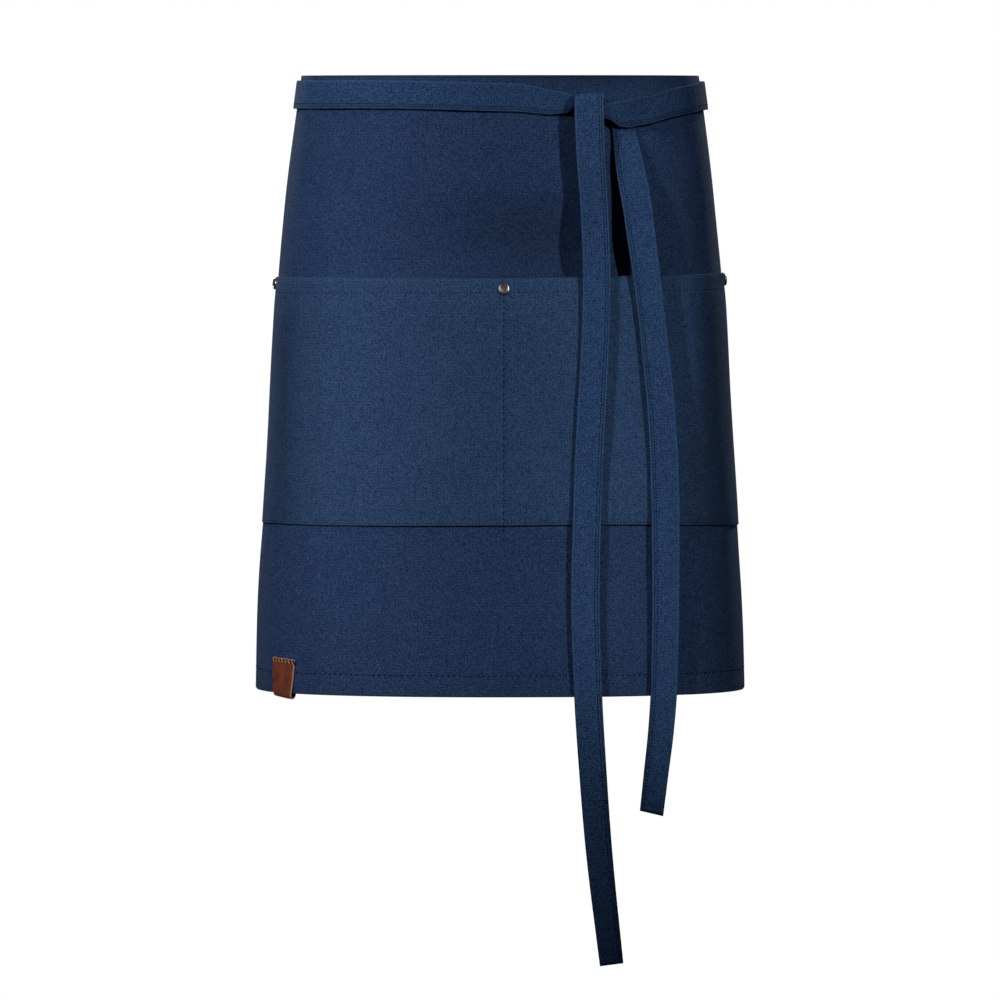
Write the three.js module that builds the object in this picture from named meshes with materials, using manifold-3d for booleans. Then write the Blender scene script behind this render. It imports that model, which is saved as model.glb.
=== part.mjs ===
// Waist apron: a wrapped cloth panel with a patch pocket, two knotted ties, three rivets and a leather label.
// Millimetres, +Z up. The origin is the centre of the waist opening, level with the panel's top edge.
// The front faces -Y, and +X is on the right of someone who looks at the front.
import * as THREE from "three";
import { mergeVertices } from "three/addons/utils/BufferGeometryUtils.js";
import Module from "manifold-3d";

const wasm = await Module();
wasm.setup();

// Driving dimensions of the cloth
const PANEL_WIDTH = 750;
const PANEL_LENGTH = 500;
const CLOTH = 1;
const TURNED_CLOTH = 1.8;
const TOP_HEM = 12;
const BOTTOM_HEM = 18;
const SIDE_HEM = 12;
const HEM_STEP = 1.5;
const LAYER_GAP = 0.35;
const COLUMN_STEP = 12.5;
const PANEL_DROPS = [40, 80, 115, 135, 150, 163, 178, 205, 250, 300, 350, 400, 440];

// Patch pocket: its mouth lies this far below the top edge and leans slightly up to the right
const POCKET_WIDTH = 475;
const POCKET_SHIFT = 3.1;
const POCKET_HEIGHT = 200;
const POCKET_DROP = 162;
const POCKET_LEAN = 0.007;
const MOUTH_HEM = 14;
const POCKET_TURN = 12;
const POCKET_DROPS = [40, 80, 120, 160];

// Cloth ties
const TIE_WIDTH = 23;
const TIE_THICKNESS = 1.6;
const TIE_SEWN = 25;
const TIE_STEP = 12.5;

// Rivets
const RIVET_DIAMETER = 10;
const RIVET_RISE = 2;
const RIVET_FOOT = 9.4;
const RIVET_ROUND = 1.6;
const RIVET_POST = 4;
const RIVET_BACK = 8;
const RIVET_BACK_THICKNESS = 1;
const RIVET_DISH = 0.45;
const RIVET_DISH_FLAT = 5;
const RIVET_GAP = 0.3;
const RIVET_SIDES = 16;
const HOLE_DIAMETER = 4.6;
const HOLE_REACH = 14;
const RIVETS = [
  { name: "rivet_left", s: -225, belowMouth: 5.5 },
  { name: "rivet_center", s: POCKET_SHIFT, belowMouth: 10 },
  { name: "rivet_right", s: 234, belowMouth: 5.5 },
];

// Leather label folded over the hem
const LABEL_X = -175;
const LABEL_WIDTH = 26;
const LABEL_LEG = 30;
const LABEL_HANG = 5.6;
const LEATHER = 1.7;
const LABEL_GAP = 0.5;

// Worn form: half width and half depths of the panel's outer face at each drop below the top edge
const ROUNDNESS = 2.25;
const FORM = [
  { drop: 0, width: 162, front: 104, back: 112 },
  { drop: 30, width: 166, front: 105.5, back: 115 },
  { drop: 100, width: 175, front: 108, back: 122 },
  { drop: 165, width: 181, front: 110, back: 127 },
  { drop: 300, width: 188.8, front: 113, back: 132 },
  { drop: 415, width: 196.2, front: 115, back: 135 },
  { drop: 500, width: 198.8, front: 116, back: 136 },
];

// Soft folds: how far the cloth rises round a point, at an arc length from the front's middle and a drop
const FOLDS = [
  { s: 2, drop: 145, reach: 55, fall: 30, rise: -2 },
  { s: -152, drop: 340, reach: 14, fall: 170, rise: 1.5 },
  { s: 166, drop: 340, reach: 16, fall: 170, rise: 1.3 },
  { s: -308, drop: 470, reach: 36, fall: 200, rise: 6 },
  { s: 306, drop: 460, reach: 38, fall: 190, rise: 5 },
  { s: -352, drop: 450, reach: 28, fall: 180, rise: -4 },
  { s: 350, drop: 450, reach: 28, fall: 180, rise: -4 },
];

// Ties round the waist: middle height and layer at each distance past the middle of the back.
// Layer 1 lies on the panel and layer 2 on the other tie's sewn end; they change places where one dips below the other.
const LEFT_RUN = [
  { past: -95, z: -15.5, layer: 1 },
  { past: -18, z: -37.5, layer: 1 },
  { past: 18, z: -37.5, layer: 2 },
  { past: 105, z: -15.5, layer: 2 },
  { past: 135, z: -15.5, layer: 1.3 },
  { past: 215, z: -15.5, layer: 1.6 },
  { past: 330, z: -15.5, layer: 1.4 },
  { past: 455, z: -18.2, layer: 1 },
];
const RIGHT_RUN = [
  { past: -95, z: -15.5, layer: 1 },
  { past: -18, z: -13, layer: 1 },
  { past: 18, z: -13, layer: 2 },
  { past: 105, z: -15.5, layer: 2 },
  { past: 135, z: -15.5, layer: 1.5 },
  { past: 240, z: -16.3, layer: 2.2 },
  { past: 285, z: -20.5, layer: 1.9 },
  { past: 306, z: -24.2, layer: 2.2 },
  { past: 320, z: -27.6, layer: 2.7 },
];

// Ties in the knot and below it: both edges of each section, with their distance in front of the panel.
// The left tie narrows, turns up behind the knot, folds over its top and hangs in front.
const LEFT_KNOT = [
  { x1: 40, z1: -11.5, off1: 1.8, x2: 40, z2: -31.8, off2: 1.8, thick: 1.6 },
  { x1: 53.5, z1: -14.2, off1: 3, x2: 53.5, z2: -31.2, off2: 3, thick: 1.8 },
  { x1: 58, z1: -16.8, off1: 4.4, x2: 58, z2: -27, off2: 4.4, thick: 2.2 },
  { x1: 59.6, z1: -18, off1: 5, x2: 65, z2: -27, off2: 5, thick: 2.2 },
  { x1: 60, z1: -18.8, off1: 5, x2: 74, z2: -25.6, off2: 5, thick: 2 },
  { x1: 60, z1: -19.6, off1: 5, x2: 81, z2: -22.4, off2: 5, thick: 1.8 },
  { x1: 59.8, z1: -19, off1: 5.2, x2: 83, z2: -18, off2: 5.2, thick: 1.7 },
  { x1: 59.6, z1: -17, off1: 6.1, x2: 83, z2: -15.4, off2: 6.1, thick: 1.6 },
  { x1: 59.5, z1: -16.2, off1: 8, x2: 83, z2: -14.5, off2: 8, thick: 1.6 },
  { x1: 59.4, z1: -17, off1: 10, x2: 83, z2: -15.4, off2: 10, thick: 1.6 },
  { x1: 59.4, z1: -20, off1: 11, x2: 83.1, z2: -18.5, off2: 11.1, thick: 1.6 },
  { x1: 60.7, z1: -60, off1: 9.8, x2: 84.1, z2: -60, off2: 10.8, thick: 1.6 },
  { x1: 63.8, z1: -100, off1: 7.6, x2: 86.5, z2: -100, off2: 9.6, thick: 1.6 },
  { x1: 66.3, z1: -162, off1: 5.2, x2: 88.7, z2: -162, off2: 7.4, thick: 1.6 },
  { x1: 66, z1: -189, off1: 4.8, x2: 88.5, z2: -189, off2: 7, thick: 1.6 },
  { x1: 60.2, z1: -301, off1: 4.5, x2: 83.4, z2: -301, off2: 6.4, thick: 1.6 },
  { x1: 58.2, z1: -361, off1: 4.5, x2: 81.2, z2: -361, off2: 6.4, thick: 1.6 },
  { x1: 56.9, z1: -422, off1: 3.6, x2: 80.2, z2: -422, off2: 5.4, thick: 1.6 },
  { x1: 59.3, z1: -494, off1: 2.8, x2: 82.1, z2: -494, off2: 4.6, thick: 1.6 },
  { x1: 68.9, z1: -623, off1: 2.2, x2: 90.3, z2: -623, off2: 5, thick: 1.6 },
  { x1: 80.4, z1: -716, off1: 2, x2: 99.3, z2: -713.2, off2: 6, thick: 1.6 },
];
// The right tie passes in front of the left one, folds back at its left, turns down behind itself and hangs.
const RIGHT_KNOT = [
  { x1: 112, z1: -40.6, off1: 5.4, x2: 112, z2: -17, off2: 5.4, thick: 1.6 },
  { x1: 104.5, z1: -42.3, off1: 6.8, x2: 104.5, z2: -18.9, off2: 6.8, thick: 1.6 },
  { x1: 97.5, z1: -42, off1: 7.8, x2: 96, z2: -20.5, off2: 7.8, thick: 1.8 },
  { x1: 90.5, z1: -37.4, off1: 8.1, x2: 89.5, z2: -22.2, off2: 8.1, thick: 2.1 },
  { x1: 83, z1: -35, off1: 8.1, x2: 83, z2: -24, off2: 8.1, thick: 2.2 },
  { x1: 74.5, z1: -36, off1: 8, x2: 74.5, z2: -28.4, off2: 8, thick: 2.2 },
  { x1: 71.8, z1: -36.4, off1: 7.1, x2: 71.8, z2: -28.8, off2: 7.1, thick: 2.2 },
  { x1: 70.6, z1: -36.6, off1: 5, x2: 70.6, z2: -29, off2: 5, thick: 2.2 },
  { x1: 71.8, z1: -36.8, off1: 2.9, x2: 71.8, z2: -29, off2: 2.9, thick: 2.2 },
  { x1: 74.5, z1: -37, off1: 2, x2: 74.5, z2: -28.8, off2: 2, thick: 2.2 },
  { x1: 84, z1: -38, off1: 2, x2: 86, z2: -25.6, off2: 2, thick: 2.1 },
  { x1: 88.4, z1: -39, off1: 2, x2: 97, z2: -26.4, off2: 2, thick: 2 },
  { x1: 89.4, z1: -40, off1: 2, x2: 104, z2: -31, off2: 2.1, thick: 1.8 },
  { x1: 89.8, z1: -42, off1: 2, x2: 106.5, z2: -39, off2: 2.3, thick: 1.7 },
  { x1: 90.6, z1: -50, off1: 2, x2: 110, z2: -49, off2: 2.6, thick: 1.6 },
  { x1: 94, z1: -73, off1: 2.3, x2: 117, z2: -73, off2: 3.4, thick: 1.6 },
  { x1: 99, z1: -99, off1: 2.7, x2: 122, z2: -99, off2: 4.2, thick: 1.6 },
  { x1: 103.8, z1: -133, off1: 3.8, x2: 126.1, z2: -133, off2: 5.6, thick: 1.6 },
  { x1: 110.2, z1: -188, off1: 4.9, x2: 132.4, z2: -188, off2: 7.2, thick: 1.6 },
  { x1: 120.4, z1: -301, off1: 4.9, x2: 143.4, z2: -301, off2: 7.6, thick: 1.6 },
  { x1: 122, z1: -361, off1: 4.9, x2: 145, z2: -361, off2: 7.4, thick: 1.6 },
  { x1: 122.6, z1: -422, off1: 4.2, x2: 144.6, z2: -422, off2: 6.6, thick: 1.6 },
  { x1: 121.4, z1: -494, off1: 3.4, x2: 143, z2: -494, off2: 5.6, thick: 1.6 },
  { x1: 112.8, z1: -591.7, off1: 3, x2: 131.6, z2: -595.5, off2: 5, thick: 1.6 },
];
const KNOT_STEPS = 3;

const COLORS = { twill: 0x26425f, pocket: 0x2a4766, tie: 0x2b4a6b, leather: 0x5f352a, metal: 0x55565a };

// Values of a table's columns between its rows: monotone cubic steps, so nothing overshoots a row
function slopeAt(rows, key, column, i) {
  const rate = (a, b) => (rows[b][column] - rows[a][column]) / (rows[b][key] - rows[a][key]);
  if (i === 0) return rate(0, 1);
  if (i === rows.length - 1) return rate(i - 1, i);
  const before = rate(i - 1, i);
  const after = rate(i, i + 1);
  return before * after <= 0 ? 0 : (2 * before * after) / (before + after);
}

function valuesAt(rows, key, at) {
  let i = 0;
  while (i < rows.length - 2 && rows[i + 1][key] < at) i += 1;
  const span = rows[i + 1][key] - rows[i][key];
  const t = THREE.MathUtils.clamp((at - rows[i][key]) / span, 0, 1);
  const ease = t * t * (3 - 2 * t);
  const values = {};
  for (const column of Object.keys(rows[i])) {
    const start = rows[i][column] * (1 - ease) + rows[i + 1][column] * ease;
    const leave = slopeAt(rows, key, column, i) * t * (1 - t) * (1 - t);
    const arrive = slopeAt(rows, key, column, i + 1) * t * t * (1 - t);
    values[column] = start + span * (leave - arrive);
  }
  return values;
}

// One level section of the worn form: a rounded oval, flatter in front, with its arc length from the front's middle
const SECTION_STEPS = 240;
const HALVINGS = 40;
const sections = new Map();

function rimPoint(section, angle) {
  const depth = Math.abs(angle) < Math.PI / 2 ? section.front : section.back;
  const across = Math.abs(Math.sin(angle)) / section.width;
  const along = Math.abs(Math.cos(angle)) / depth;
  const reach = (across ** ROUNDNESS + along ** ROUNDNESS) ** (-1 / ROUNDNESS);
  return new THREE.Vector2(reach * Math.sin(angle), -reach * Math.cos(angle));
}

function sectionAt(z) {
  const drop = THREE.MathUtils.clamp(-z, 0, PANEL_LENGTH);
  if (!sections.has(drop)) {
    const section = { ...valuesAt(FORM, "drop", drop), drop, arcs: [0] };
    for (let i = 1; i <= SECTION_STEPS; i += 1) {
      const from = rimPoint(section, (Math.PI * (i - 1)) / SECTION_STEPS);
      const to = rimPoint(section, (Math.PI * i) / SECTION_STEPS);
      section.arcs.push(section.arcs[i - 1] + from.distanceTo(to));
    }
    section.halfGirth = section.arcs[SECTION_STEPS];
    sections.set(drop, section);
  }
  return sections.get(drop);
}

function angleAt(section, s) {
  const arc = Math.min(Math.abs(s), section.halfGirth);
  let i = 1;
  while (i < SECTION_STEPS && section.arcs[i] < arc) i += 1;
  const part = (arc - section.arcs[i - 1]) / (section.arcs[i] - section.arcs[i - 1]);
  return Math.sign(s) * (Math.PI / SECTION_STEPS) * (i - 1 + part);
}

function outwardAt(section, angle) {
  const nudge = 0.01;
  const along = rimPoint(section, angle + nudge).sub(rimPoint(section, angle - nudge));
  return new THREE.Vector3(along.y, -along.x, 0).normalize();
}

function foldRise(s, drop) {
  let rise = 0;
  for (const fold of FOLDS) {
    const across = (s - fold.s) / fold.reach;
    const down = (drop - fold.drop) / fold.fall;
    rise += fold.rise * Math.exp(-across * across - down * down);
  }
  return rise;
}

// A point at arc length s round the panel, at height z, this far outside the panel's outer face
function clothPoint(s, z, off) {
  const section = sectionAt(z);
  const angle = angleAt(section, s);
  const rim = rimPoint(section, angle);
  const out = outwardAt(section, angle).multiplyScalar(off + foldRise(s, section.drop));
  return new THREE.Vector3(rim.x, rim.y, z).add(out);
}

// The direction square to the panel's outer face, with its lean
function clothNormal(s, z) {
  const across = clothPoint(s + 1, z, 0).sub(clothPoint(s - 1, z, 0));
  const up = clothPoint(s, z + 1, 0).sub(clothPoint(s, z - 1, 0));
  return across.cross(up).normalize();
}

// Arc length on the front half where the panel has this x
function arcAtX(x, z) {
  const section = sectionAt(z);
  let low = 0;
  let high = section.halfGirth / 2;
  for (let i = 0; i < HALVINGS; i += 1) {
    const middle = (low + high) / 2;
    if (rimPoint(section, angleAt(section, middle)).x < Math.abs(x)) low = middle;
    else high = middle;
  }
  return Math.sign(x) * low;
}

// A point straight in front of the panel
function frontPoint(x, z, off) {
  return new THREE.Vector3(x, clothPoint(arcAtX(x, z), z, 0).y - off, z);
}

// Grid lines from one edge to the other: a hem's step inside each edge, and other lines clear of the steps between
function gridLines(from, to, hemFrom, hemTo, others) {
  const first = from + hemFrom + HEM_STEP;
  const last = to - hemTo - HEM_STEP;
  const clear = others.filter((at) => at - first > HEM_STEP && last - at > HEM_STEP);
  return [from, from + hemFrom, first, ...clear, last, to - hemTo, to];
}

function evenLines(half, step) {
  const count = Math.floor(half / step);
  return Array.from({ length: 2 * count + 1 }, (_, i) => (i - count) * step);
}

function solidGeometry(points, faces) {
  const geometry = new THREE.BufferGeometry();
  geometry.setAttribute("position", new THREE.Float32BufferAttribute(points.flatMap((p) => p.toArray()), 3));
  geometry.setIndex(faces.flat());
  return geometry;
}

// A closed wall between an outer and an inner face, over lines across (s) and lines down
function wallGeometry(across, down, outer, inner) {
  const points = [];
  for (const face of [outer, inner]) {
    for (const d of down) for (const s of across) points.push(face(s, d));
  }
  const columns = across.length;
  const rows = down.length;
  const out = (i, j) => j * columns + i;
  const back = (i, j) => columns * rows + out(i, j);
  const faces = [];
  const quad = (a, b, c, d) => faces.push([a, b, c], [a, c, d]);
  for (let j = 0; j < rows - 1; j += 1) {
    for (let i = 0; i < columns - 1; i += 1) {
      quad(out(i, j), out(i, j + 1), out(i + 1, j + 1), out(i + 1, j));
      quad(back(i, j), back(i + 1, j), back(i + 1, j + 1), back(i, j + 1));
    }
    quad(out(0, j), back(0, j), back(0, j + 1), out(0, j + 1));
    quad(out(columns - 1, j), out(columns - 1, j + 1), back(columns - 1, j + 1), back(columns - 1, j));
  }
  for (let i = 0; i < columns - 1; i += 1) {
    quad(out(i, 0), out(i + 1, 0), back(i + 1, 0), back(i, 0));
    quad(out(i, rows - 1), back(i, rows - 1), back(i + 1, rows - 1), out(i + 1, rows - 1));
  }
  return solidGeometry(points, faces);
}

// The wrapped panel: single cloth with turned hems that thicken it on the inside
function panelGeometry() {
  const half = PANEL_WIDTH / 2;
  const across = gridLines(-half, half, SIDE_HEM, SIDE_HEM, evenLines(half, COLUMN_STEP));
  const down = gridLines(0, PANEL_LENGTH, TOP_HEM, BOTTOM_HEM, PANEL_DROPS);
  const turned = (s, drop) =>
    Math.abs(s) >= half - SIDE_HEM || drop <= TOP_HEM || drop >= PANEL_LENGTH - BOTTOM_HEM;
  const outer = (s, drop) => clothPoint(s, -drop, 0);
  const inner = (s, drop) => clothPoint(s, -drop, turned(s, drop) ? -TURNED_CLOTH : -CLOTH);
  return wallGeometry(across, down, outer, inner);
}

// The pocket's mouth line, and its outer face over the turned edges
const POCKET_FACE = LAYER_GAP + TURNED_CLOTH;

function mouthHeight(s) {
  return -POCKET_DROP + POCKET_LEAN * s;
}

// The pocket: its turned edges lie on the panel, and its single cloth stands clear of it, open at the mouth
function pocketGeometry() {
  const half = POCKET_WIDTH / 2;
  const columns = evenLines(half, COLUMN_STEP);
  const across = gridLines(POCKET_SHIFT - half, POCKET_SHIFT + half, POCKET_TURN, POCKET_TURN, columns);
  const down = gridLines(0, POCKET_HEIGHT, MOUTH_HEM, POCKET_TURN, POCKET_DROPS);
  const turned = (s, below) =>
    Math.abs(s - POCKET_SHIFT) >= half - POCKET_TURN || below <= MOUTH_HEM || below >= POCKET_HEIGHT - POCKET_TURN;
  const outer = (s, below) => clothPoint(s, mouthHeight(s) - below, POCKET_FACE);
  const inner = (s, below) =>
    clothPoint(s, mouthHeight(s) - below, POCKET_FACE - (turned(s, below) ? TURNED_CLOTH : CLOTH));
  return wallGeometry(across, down, outer, inner);
}

// A flat tie through its sections, each with two edge points and a thickness
function ribbonGeometry(stations) {
  const middles = stations.map(({ one, two }) => one.clone().add(two).multiplyScalar(0.5));
  const points = [];
  stations.forEach(({ one, two, thick }, i) => {
    const along = middles[Math.min(i + 1, middles.length - 1)].clone().sub(middles[Math.max(i - 1, 0)]);
    const face = along.cross(two.clone().sub(one)).normalize().multiplyScalar(thick / 2);
    points.push(one.clone().add(face), two.clone().add(face), two.clone().sub(face), one.clone().sub(face));
  });
  const faces = [];
  for (let i = 0; i < stations.length - 1; i += 1) {
    for (let k = 0; k < 4; k += 1) {
      const a = i * 4 + k;
      const b = i * 4 + ((k + 1) % 4);
      faces.push([a, b + 4, b], [a, a + 4, b + 4]);
    }
  }
  const end = (stations.length - 1) * 4;
  faces.push([0, 2, 3], [0, 1, 2], [end, end + 2, end + 1], [end, end + 3, end + 2]);
  return solidGeometry(points, faces);
}

// Stations of a tie round the waist, from its sewn end at the back; side is -1 for the tie that shows at the left
function waistStations(run, side) {
  const waist = sectionAt(-TIE_WIDTH / 2);
  const start = PANEL_WIDTH / 2 - TIE_SEWN - waist.halfGirth;
  const end = run[run.length - 1].past;
  const count = Math.round((end - start) / TIE_STEP);
  const stations = [];
  for (let i = 0; i <= count; i += 1) {
    const past = start + ((end - start) * i) / count;
    const { z, layer } = valuesAt(run, "past", past);
    const off = LAYER_GAP + TIE_THICKNESS / 2 + (layer - 1) * (TIE_THICKNESS + LAYER_GAP);
    const s = past < 0 ? -side * (waist.halfGirth + past) : side * (waist.halfGirth - past);
    const angle = angleAt(waist, s);
    const edge = (height) => {
      const section = sectionAt(height);
      const rim = rimPoint(section, angle);
      return new THREE.Vector3(rim.x, rim.y, height).addScaledVector(outwardAt(section, angle), off);
    };
    const upper = edge(z + TIE_WIDTH / 2);
    const lower = edge(z - TIE_WIDTH / 2);
    const [one, two] = side < 0 ? [upper, lower] : [lower, upper];
    stations.push({ one, two, thick: TIE_THICKNESS });
  }
  return stations;
}

// Stations through the knot and down, smoothed between the table's rows
function knotStations(rows) {
  const placed = [];
  let along = 0;
  let before = null;
  for (const row of rows) {
    const one = frontPoint(row.x1, row.z1, row.off1);
    const two = frontPoint(row.x2, row.z2, row.off2);
    const middle = one.clone().add(two).multiplyScalar(0.5);
    along += before ? middle.distanceTo(before) : 0;
    before = middle;
    placed.push({
      along, x1: one.x, y1: one.y, z1: one.z, x2: two.x, y2: two.y, z2: two.z, thick: row.thick,
    });
  }
  const stations = [];
  for (let i = 0; i < placed.length - 1; i += 1) {
    for (let step = 0; step < KNOT_STEPS; step += 1) {
      stations.push(placed[i].along + ((placed[i + 1].along - placed[i].along) * step) / KNOT_STEPS);
    }
  }
  stations.push(along);
  return stations.map((at) => {
    const v = valuesAt(placed, "along", at);
    return { one: new THREE.Vector3(v.x1, v.y1, v.z1), two: new THREE.Vector3(v.x2, v.y2, v.z2), thick: v.thick };
  });
}

function tieGeometry(run, side, knot) {
  return ribbonGeometry([...waistStations(run, side), ...knotStations(knot)]);
}

// A rivet along +Y: a rounded cap with a shallow dish, a post through both cloths and a flat back
function rivetGeometry() {
  const cap = RIVET_DIAMETER / 2;
  const back = RIVET_BACK / 2;
  const post = RIVET_POST / 2;
  const seat = POCKET_FACE + RIVET_GAP;
  const inside = -CLOTH - LAYER_GAP;
  const top = seat + RIVET_RISE;
  const profile = [
    [0, inside - RIVET_BACK_THICKNESS], [back, inside - RIVET_BACK_THICKNESS], [back, inside],
    [post, inside], [post, seat], [RIVET_FOOT / 2, seat],
  ];
  const rimSteps = 3;
  for (let i = 0; i <= rimSteps; i += 1) {
    const turn = (Math.PI / 2) * (i / rimSteps);
    profile.push([cap - RIVET_ROUND * (1 - Math.cos(turn)), top - RIVET_ROUND * (1 - Math.sin(turn))]);
  }
  profile.push([RIVET_DISH_FLAT / 2, top - RIVET_DISH], [0, top - RIVET_DISH]);
  const outline = profile.map(([r, h]) => new THREE.Vector2(r, h));
  return mergeVertices(bare(new THREE.LatheGeometry(outline, RIVET_SIDES)));
}

function bare(geometry) {
  geometry.deleteAttribute("normal");
  geometry.deleteAttribute("uv");
  return geometry;
}

function rivetPlace({ s, belowMouth }) {
  const z = mouthHeight(s) - belowMouth;
  const turn = new THREE.Quaternion().setFromUnitVectors(new THREE.Vector3(0, 1, 0), clothNormal(s, z));
  return { position: clothPoint(s, z, 0), turn };
}

// Cloth with a round hole for each rivet's post
function toManifold(geometry) {
  const merged = mergeVertices(geometry);
  return new wasm.Manifold(new wasm.Mesh({
    numProp: 3,
    vertProperties: new Float32Array(merged.attributes.position.array),
    triVerts: new Uint32Array(merged.index.array),
  }));
}

function withRivetHoles(geometry) {
  let solid = toManifold(geometry);
  for (const rivet of RIVETS) {
    const { position, turn } = rivetPlace(rivet);
    const hole = bare(new THREE.CylinderGeometry(HOLE_DIAMETER / 2, HOLE_DIAMETER / 2, HOLE_REACH, RIVET_SIDES));
    hole.applyQuaternion(turn).translate(...position.toArray());
    solid = solid.subtract(toManifold(hole));
  }
  const { vertProperties, triVerts } = solid.getMesh();
  const cut = new THREE.BufferGeometry();
  cut.setAttribute("position", new THREE.Float32BufferAttribute(vertProperties, 3));
  cut.setIndex(new THREE.Uint32BufferAttribute(triVerts, 1));
  return cut;
}

// The label: one strip from the front of the hem, round below it and up inside
function labelGeometry() {
  const hem = -PANEL_LENGTH;
  const frontFace = LABEL_GAP + LEATHER;
  const backFace = -TURNED_CLOTH - LABEL_GAP - LEATHER;
  const middle = (frontFace + backFace) / 2;
  const bend = (frontFace - backFace) / 2;
  const bendHeight = hem - LABEL_HANG + bend;
  const path = [];
  const legSteps = 4;
  const bendSteps = 8;
  for (let i = 0; i < legSteps; i += 1) {
    const height = hem + LABEL_LEG + ((bendHeight - hem - LABEL_LEG) * i) / legSteps;
    path.push({ off: 1, height });
  }
  for (let i = 0; i <= bendSteps; i += 1) path.push({ turn: (Math.PI * i) / bendSteps, height: bendHeight });
  for (let i = 1; i <= legSteps; i += 1) {
    const height = bendHeight + ((hem + LABEL_LEG - bendHeight) * i) / legSteps;
    path.push({ off: -1, height });
  }
  const centre = arcAtX(LABEL_X, hem);
  const across = [-2, -1, 0, 1, 2].map((i) => centre + (LABEL_WIDTH * i) / 4);
  const face = (radius) => (s, k) => {
    const { off, turn, height } = path[k];
    const cosine = turn === undefined ? off : Math.cos(turn);
    const sine = turn === undefined ? 0 : Math.sin(turn);
    return clothPoint(s, Math.max(height, hem), middle + radius * cosine).setZ(height - radius * sine);
  };
  return wallGeometry(across, path.map((_, k) => k), face(bend), face(bend - LEATHER));
}

function clothMaterial(color) {
  return new THREE.MeshStandardMaterial({ color, roughness: 0.9, metalness: 0, side: THREE.DoubleSide });
}

const twill = clothMaterial(COLORS.twill);
const pocketCloth = clothMaterial(COLORS.pocket);
const tieCloth = clothMaterial(COLORS.tie);
const leather = new THREE.MeshStandardMaterial({ color: COLORS.leather, roughness: 0.7, metalness: 0 });
const metal = new THREE.MeshStandardMaterial({ color: COLORS.metal, roughness: 0.35, metalness: 1 });

const apron = new THREE.Group();

function addPiece(name, geometry, material) {
  const mesh = new THREE.Mesh(geometry, material);
  mesh.name = name;
  apron.add(mesh);
  return mesh;
}

addPiece("apron_panel", withRivetHoles(panelGeometry()), twill);
addPiece("pocket_panel", withRivetHoles(pocketGeometry()), pocketCloth);
addPiece("tie_left", tieGeometry(LEFT_RUN, -1, LEFT_KNOT), tieCloth);
addPiece("tie_right", tieGeometry(RIGHT_RUN, 1, RIGHT_KNOT), tieCloth);
for (const rivet of RIVETS) {
  const mesh = addPiece(rivet.name, rivetGeometry(), metal);
  const { position, turn } = rivetPlace(rivet);
  mesh.position.copy(position);
  mesh.quaternion.copy(turn);
}
addPiece("label", labelGeometry(), leather);

export default apron;
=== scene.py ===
"""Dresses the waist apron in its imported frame: cloth panels, knotted ties, stitches, rivets, leather label.

Sizes are in millimetres until a mesh is made. +Z is up, the front faces -Y, and the origin is the middle of
the waist opening, level with the panel's top edge.
"""

import logging
import math
from collections.abc import Callable, Sequence
from dataclasses import dataclass, field
from enum import Enum
from typing import Any

import bmesh
import bpy
import numpy as np
from mathutils import Matrix, Vector

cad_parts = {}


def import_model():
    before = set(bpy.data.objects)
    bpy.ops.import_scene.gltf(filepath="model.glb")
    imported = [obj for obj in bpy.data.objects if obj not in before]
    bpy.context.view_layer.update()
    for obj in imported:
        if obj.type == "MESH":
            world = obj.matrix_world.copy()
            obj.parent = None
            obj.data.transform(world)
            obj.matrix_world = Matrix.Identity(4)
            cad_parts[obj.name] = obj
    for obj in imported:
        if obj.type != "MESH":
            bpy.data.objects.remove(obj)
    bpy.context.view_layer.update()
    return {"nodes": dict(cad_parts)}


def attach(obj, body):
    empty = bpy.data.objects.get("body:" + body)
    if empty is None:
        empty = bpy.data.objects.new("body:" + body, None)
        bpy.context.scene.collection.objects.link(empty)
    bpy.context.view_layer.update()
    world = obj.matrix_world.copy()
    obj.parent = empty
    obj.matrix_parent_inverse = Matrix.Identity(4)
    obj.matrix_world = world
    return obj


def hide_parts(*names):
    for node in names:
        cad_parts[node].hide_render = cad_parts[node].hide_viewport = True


LOG = logging.getLogger("apron")
MM = 0.001
ROOT = "root"
CLOTH_UV = "cloth"
# Name of the mesh mark for the rubbed edges, which also stand in for a painted highlight.
EDGE_WEAR_AND_HIGHLIGHT = "edge"
# Name of the mesh mark that holds painted shade, from 0 to 1.
PAINTED_SHADE = "crease"
LIFT = "lift"
EDGE_LINES = 5
LINE_CLEARANCE = 0.3
RIVET_MERGE = 1e-6
TIE_MERGE = 1e-7
STITCH_STEPS = 4
STITCH_SIDES = 6
STITCH_SINK = 0.7
STITCH_SPREAD = (0.9, 1.08)

Array = np.ndarray
Colour = tuple[float, float, float, float]
Faces = list[tuple[int, ...]]
Material = bpy.types.Material
Mesh = bpy.types.Mesh
Node = bpy.types.Node
Piece = bpy.types.Object
Socket = bpy.types.NodeSocket
Offsets = Callable[[Array, Array], tuple[Array, Array]]
Placing = Callable[[Array, Array, Array], Array]


class Side(Enum):
    """Which side of the waist a tie shows on; the value is its sign along X."""

    LEFT = -1
    RIGHT = 1


class Slot(Enum):
    """The record's material slots."""

    TWILL = "twill"
    METAL = "rivet_metal"
    LEATHER = "leather"


@dataclass(frozen=True)
class Table:
    """Rows of numbers under named columns. The first column is the key, in rising order."""

    columns: tuple[str, ...]
    rows: tuple[tuple[float, ...], ...]

    def column(self, name: str) -> Array:
        """One column as an array."""
        return np.array([row[self.columns.index(name)] for row in self.rows], float)

    def at(self, where: Array) -> dict[str, Array]:
        """Values between the rows, in smooth steps that never overshoot a row.

        Args:
            where: Values of the key column.

        Returns:
            Each column's values there.
        """
        keys = self.column(self.columns[0])
        return {name: between(keys, self.column(name), where) for name in self.columns}


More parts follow.
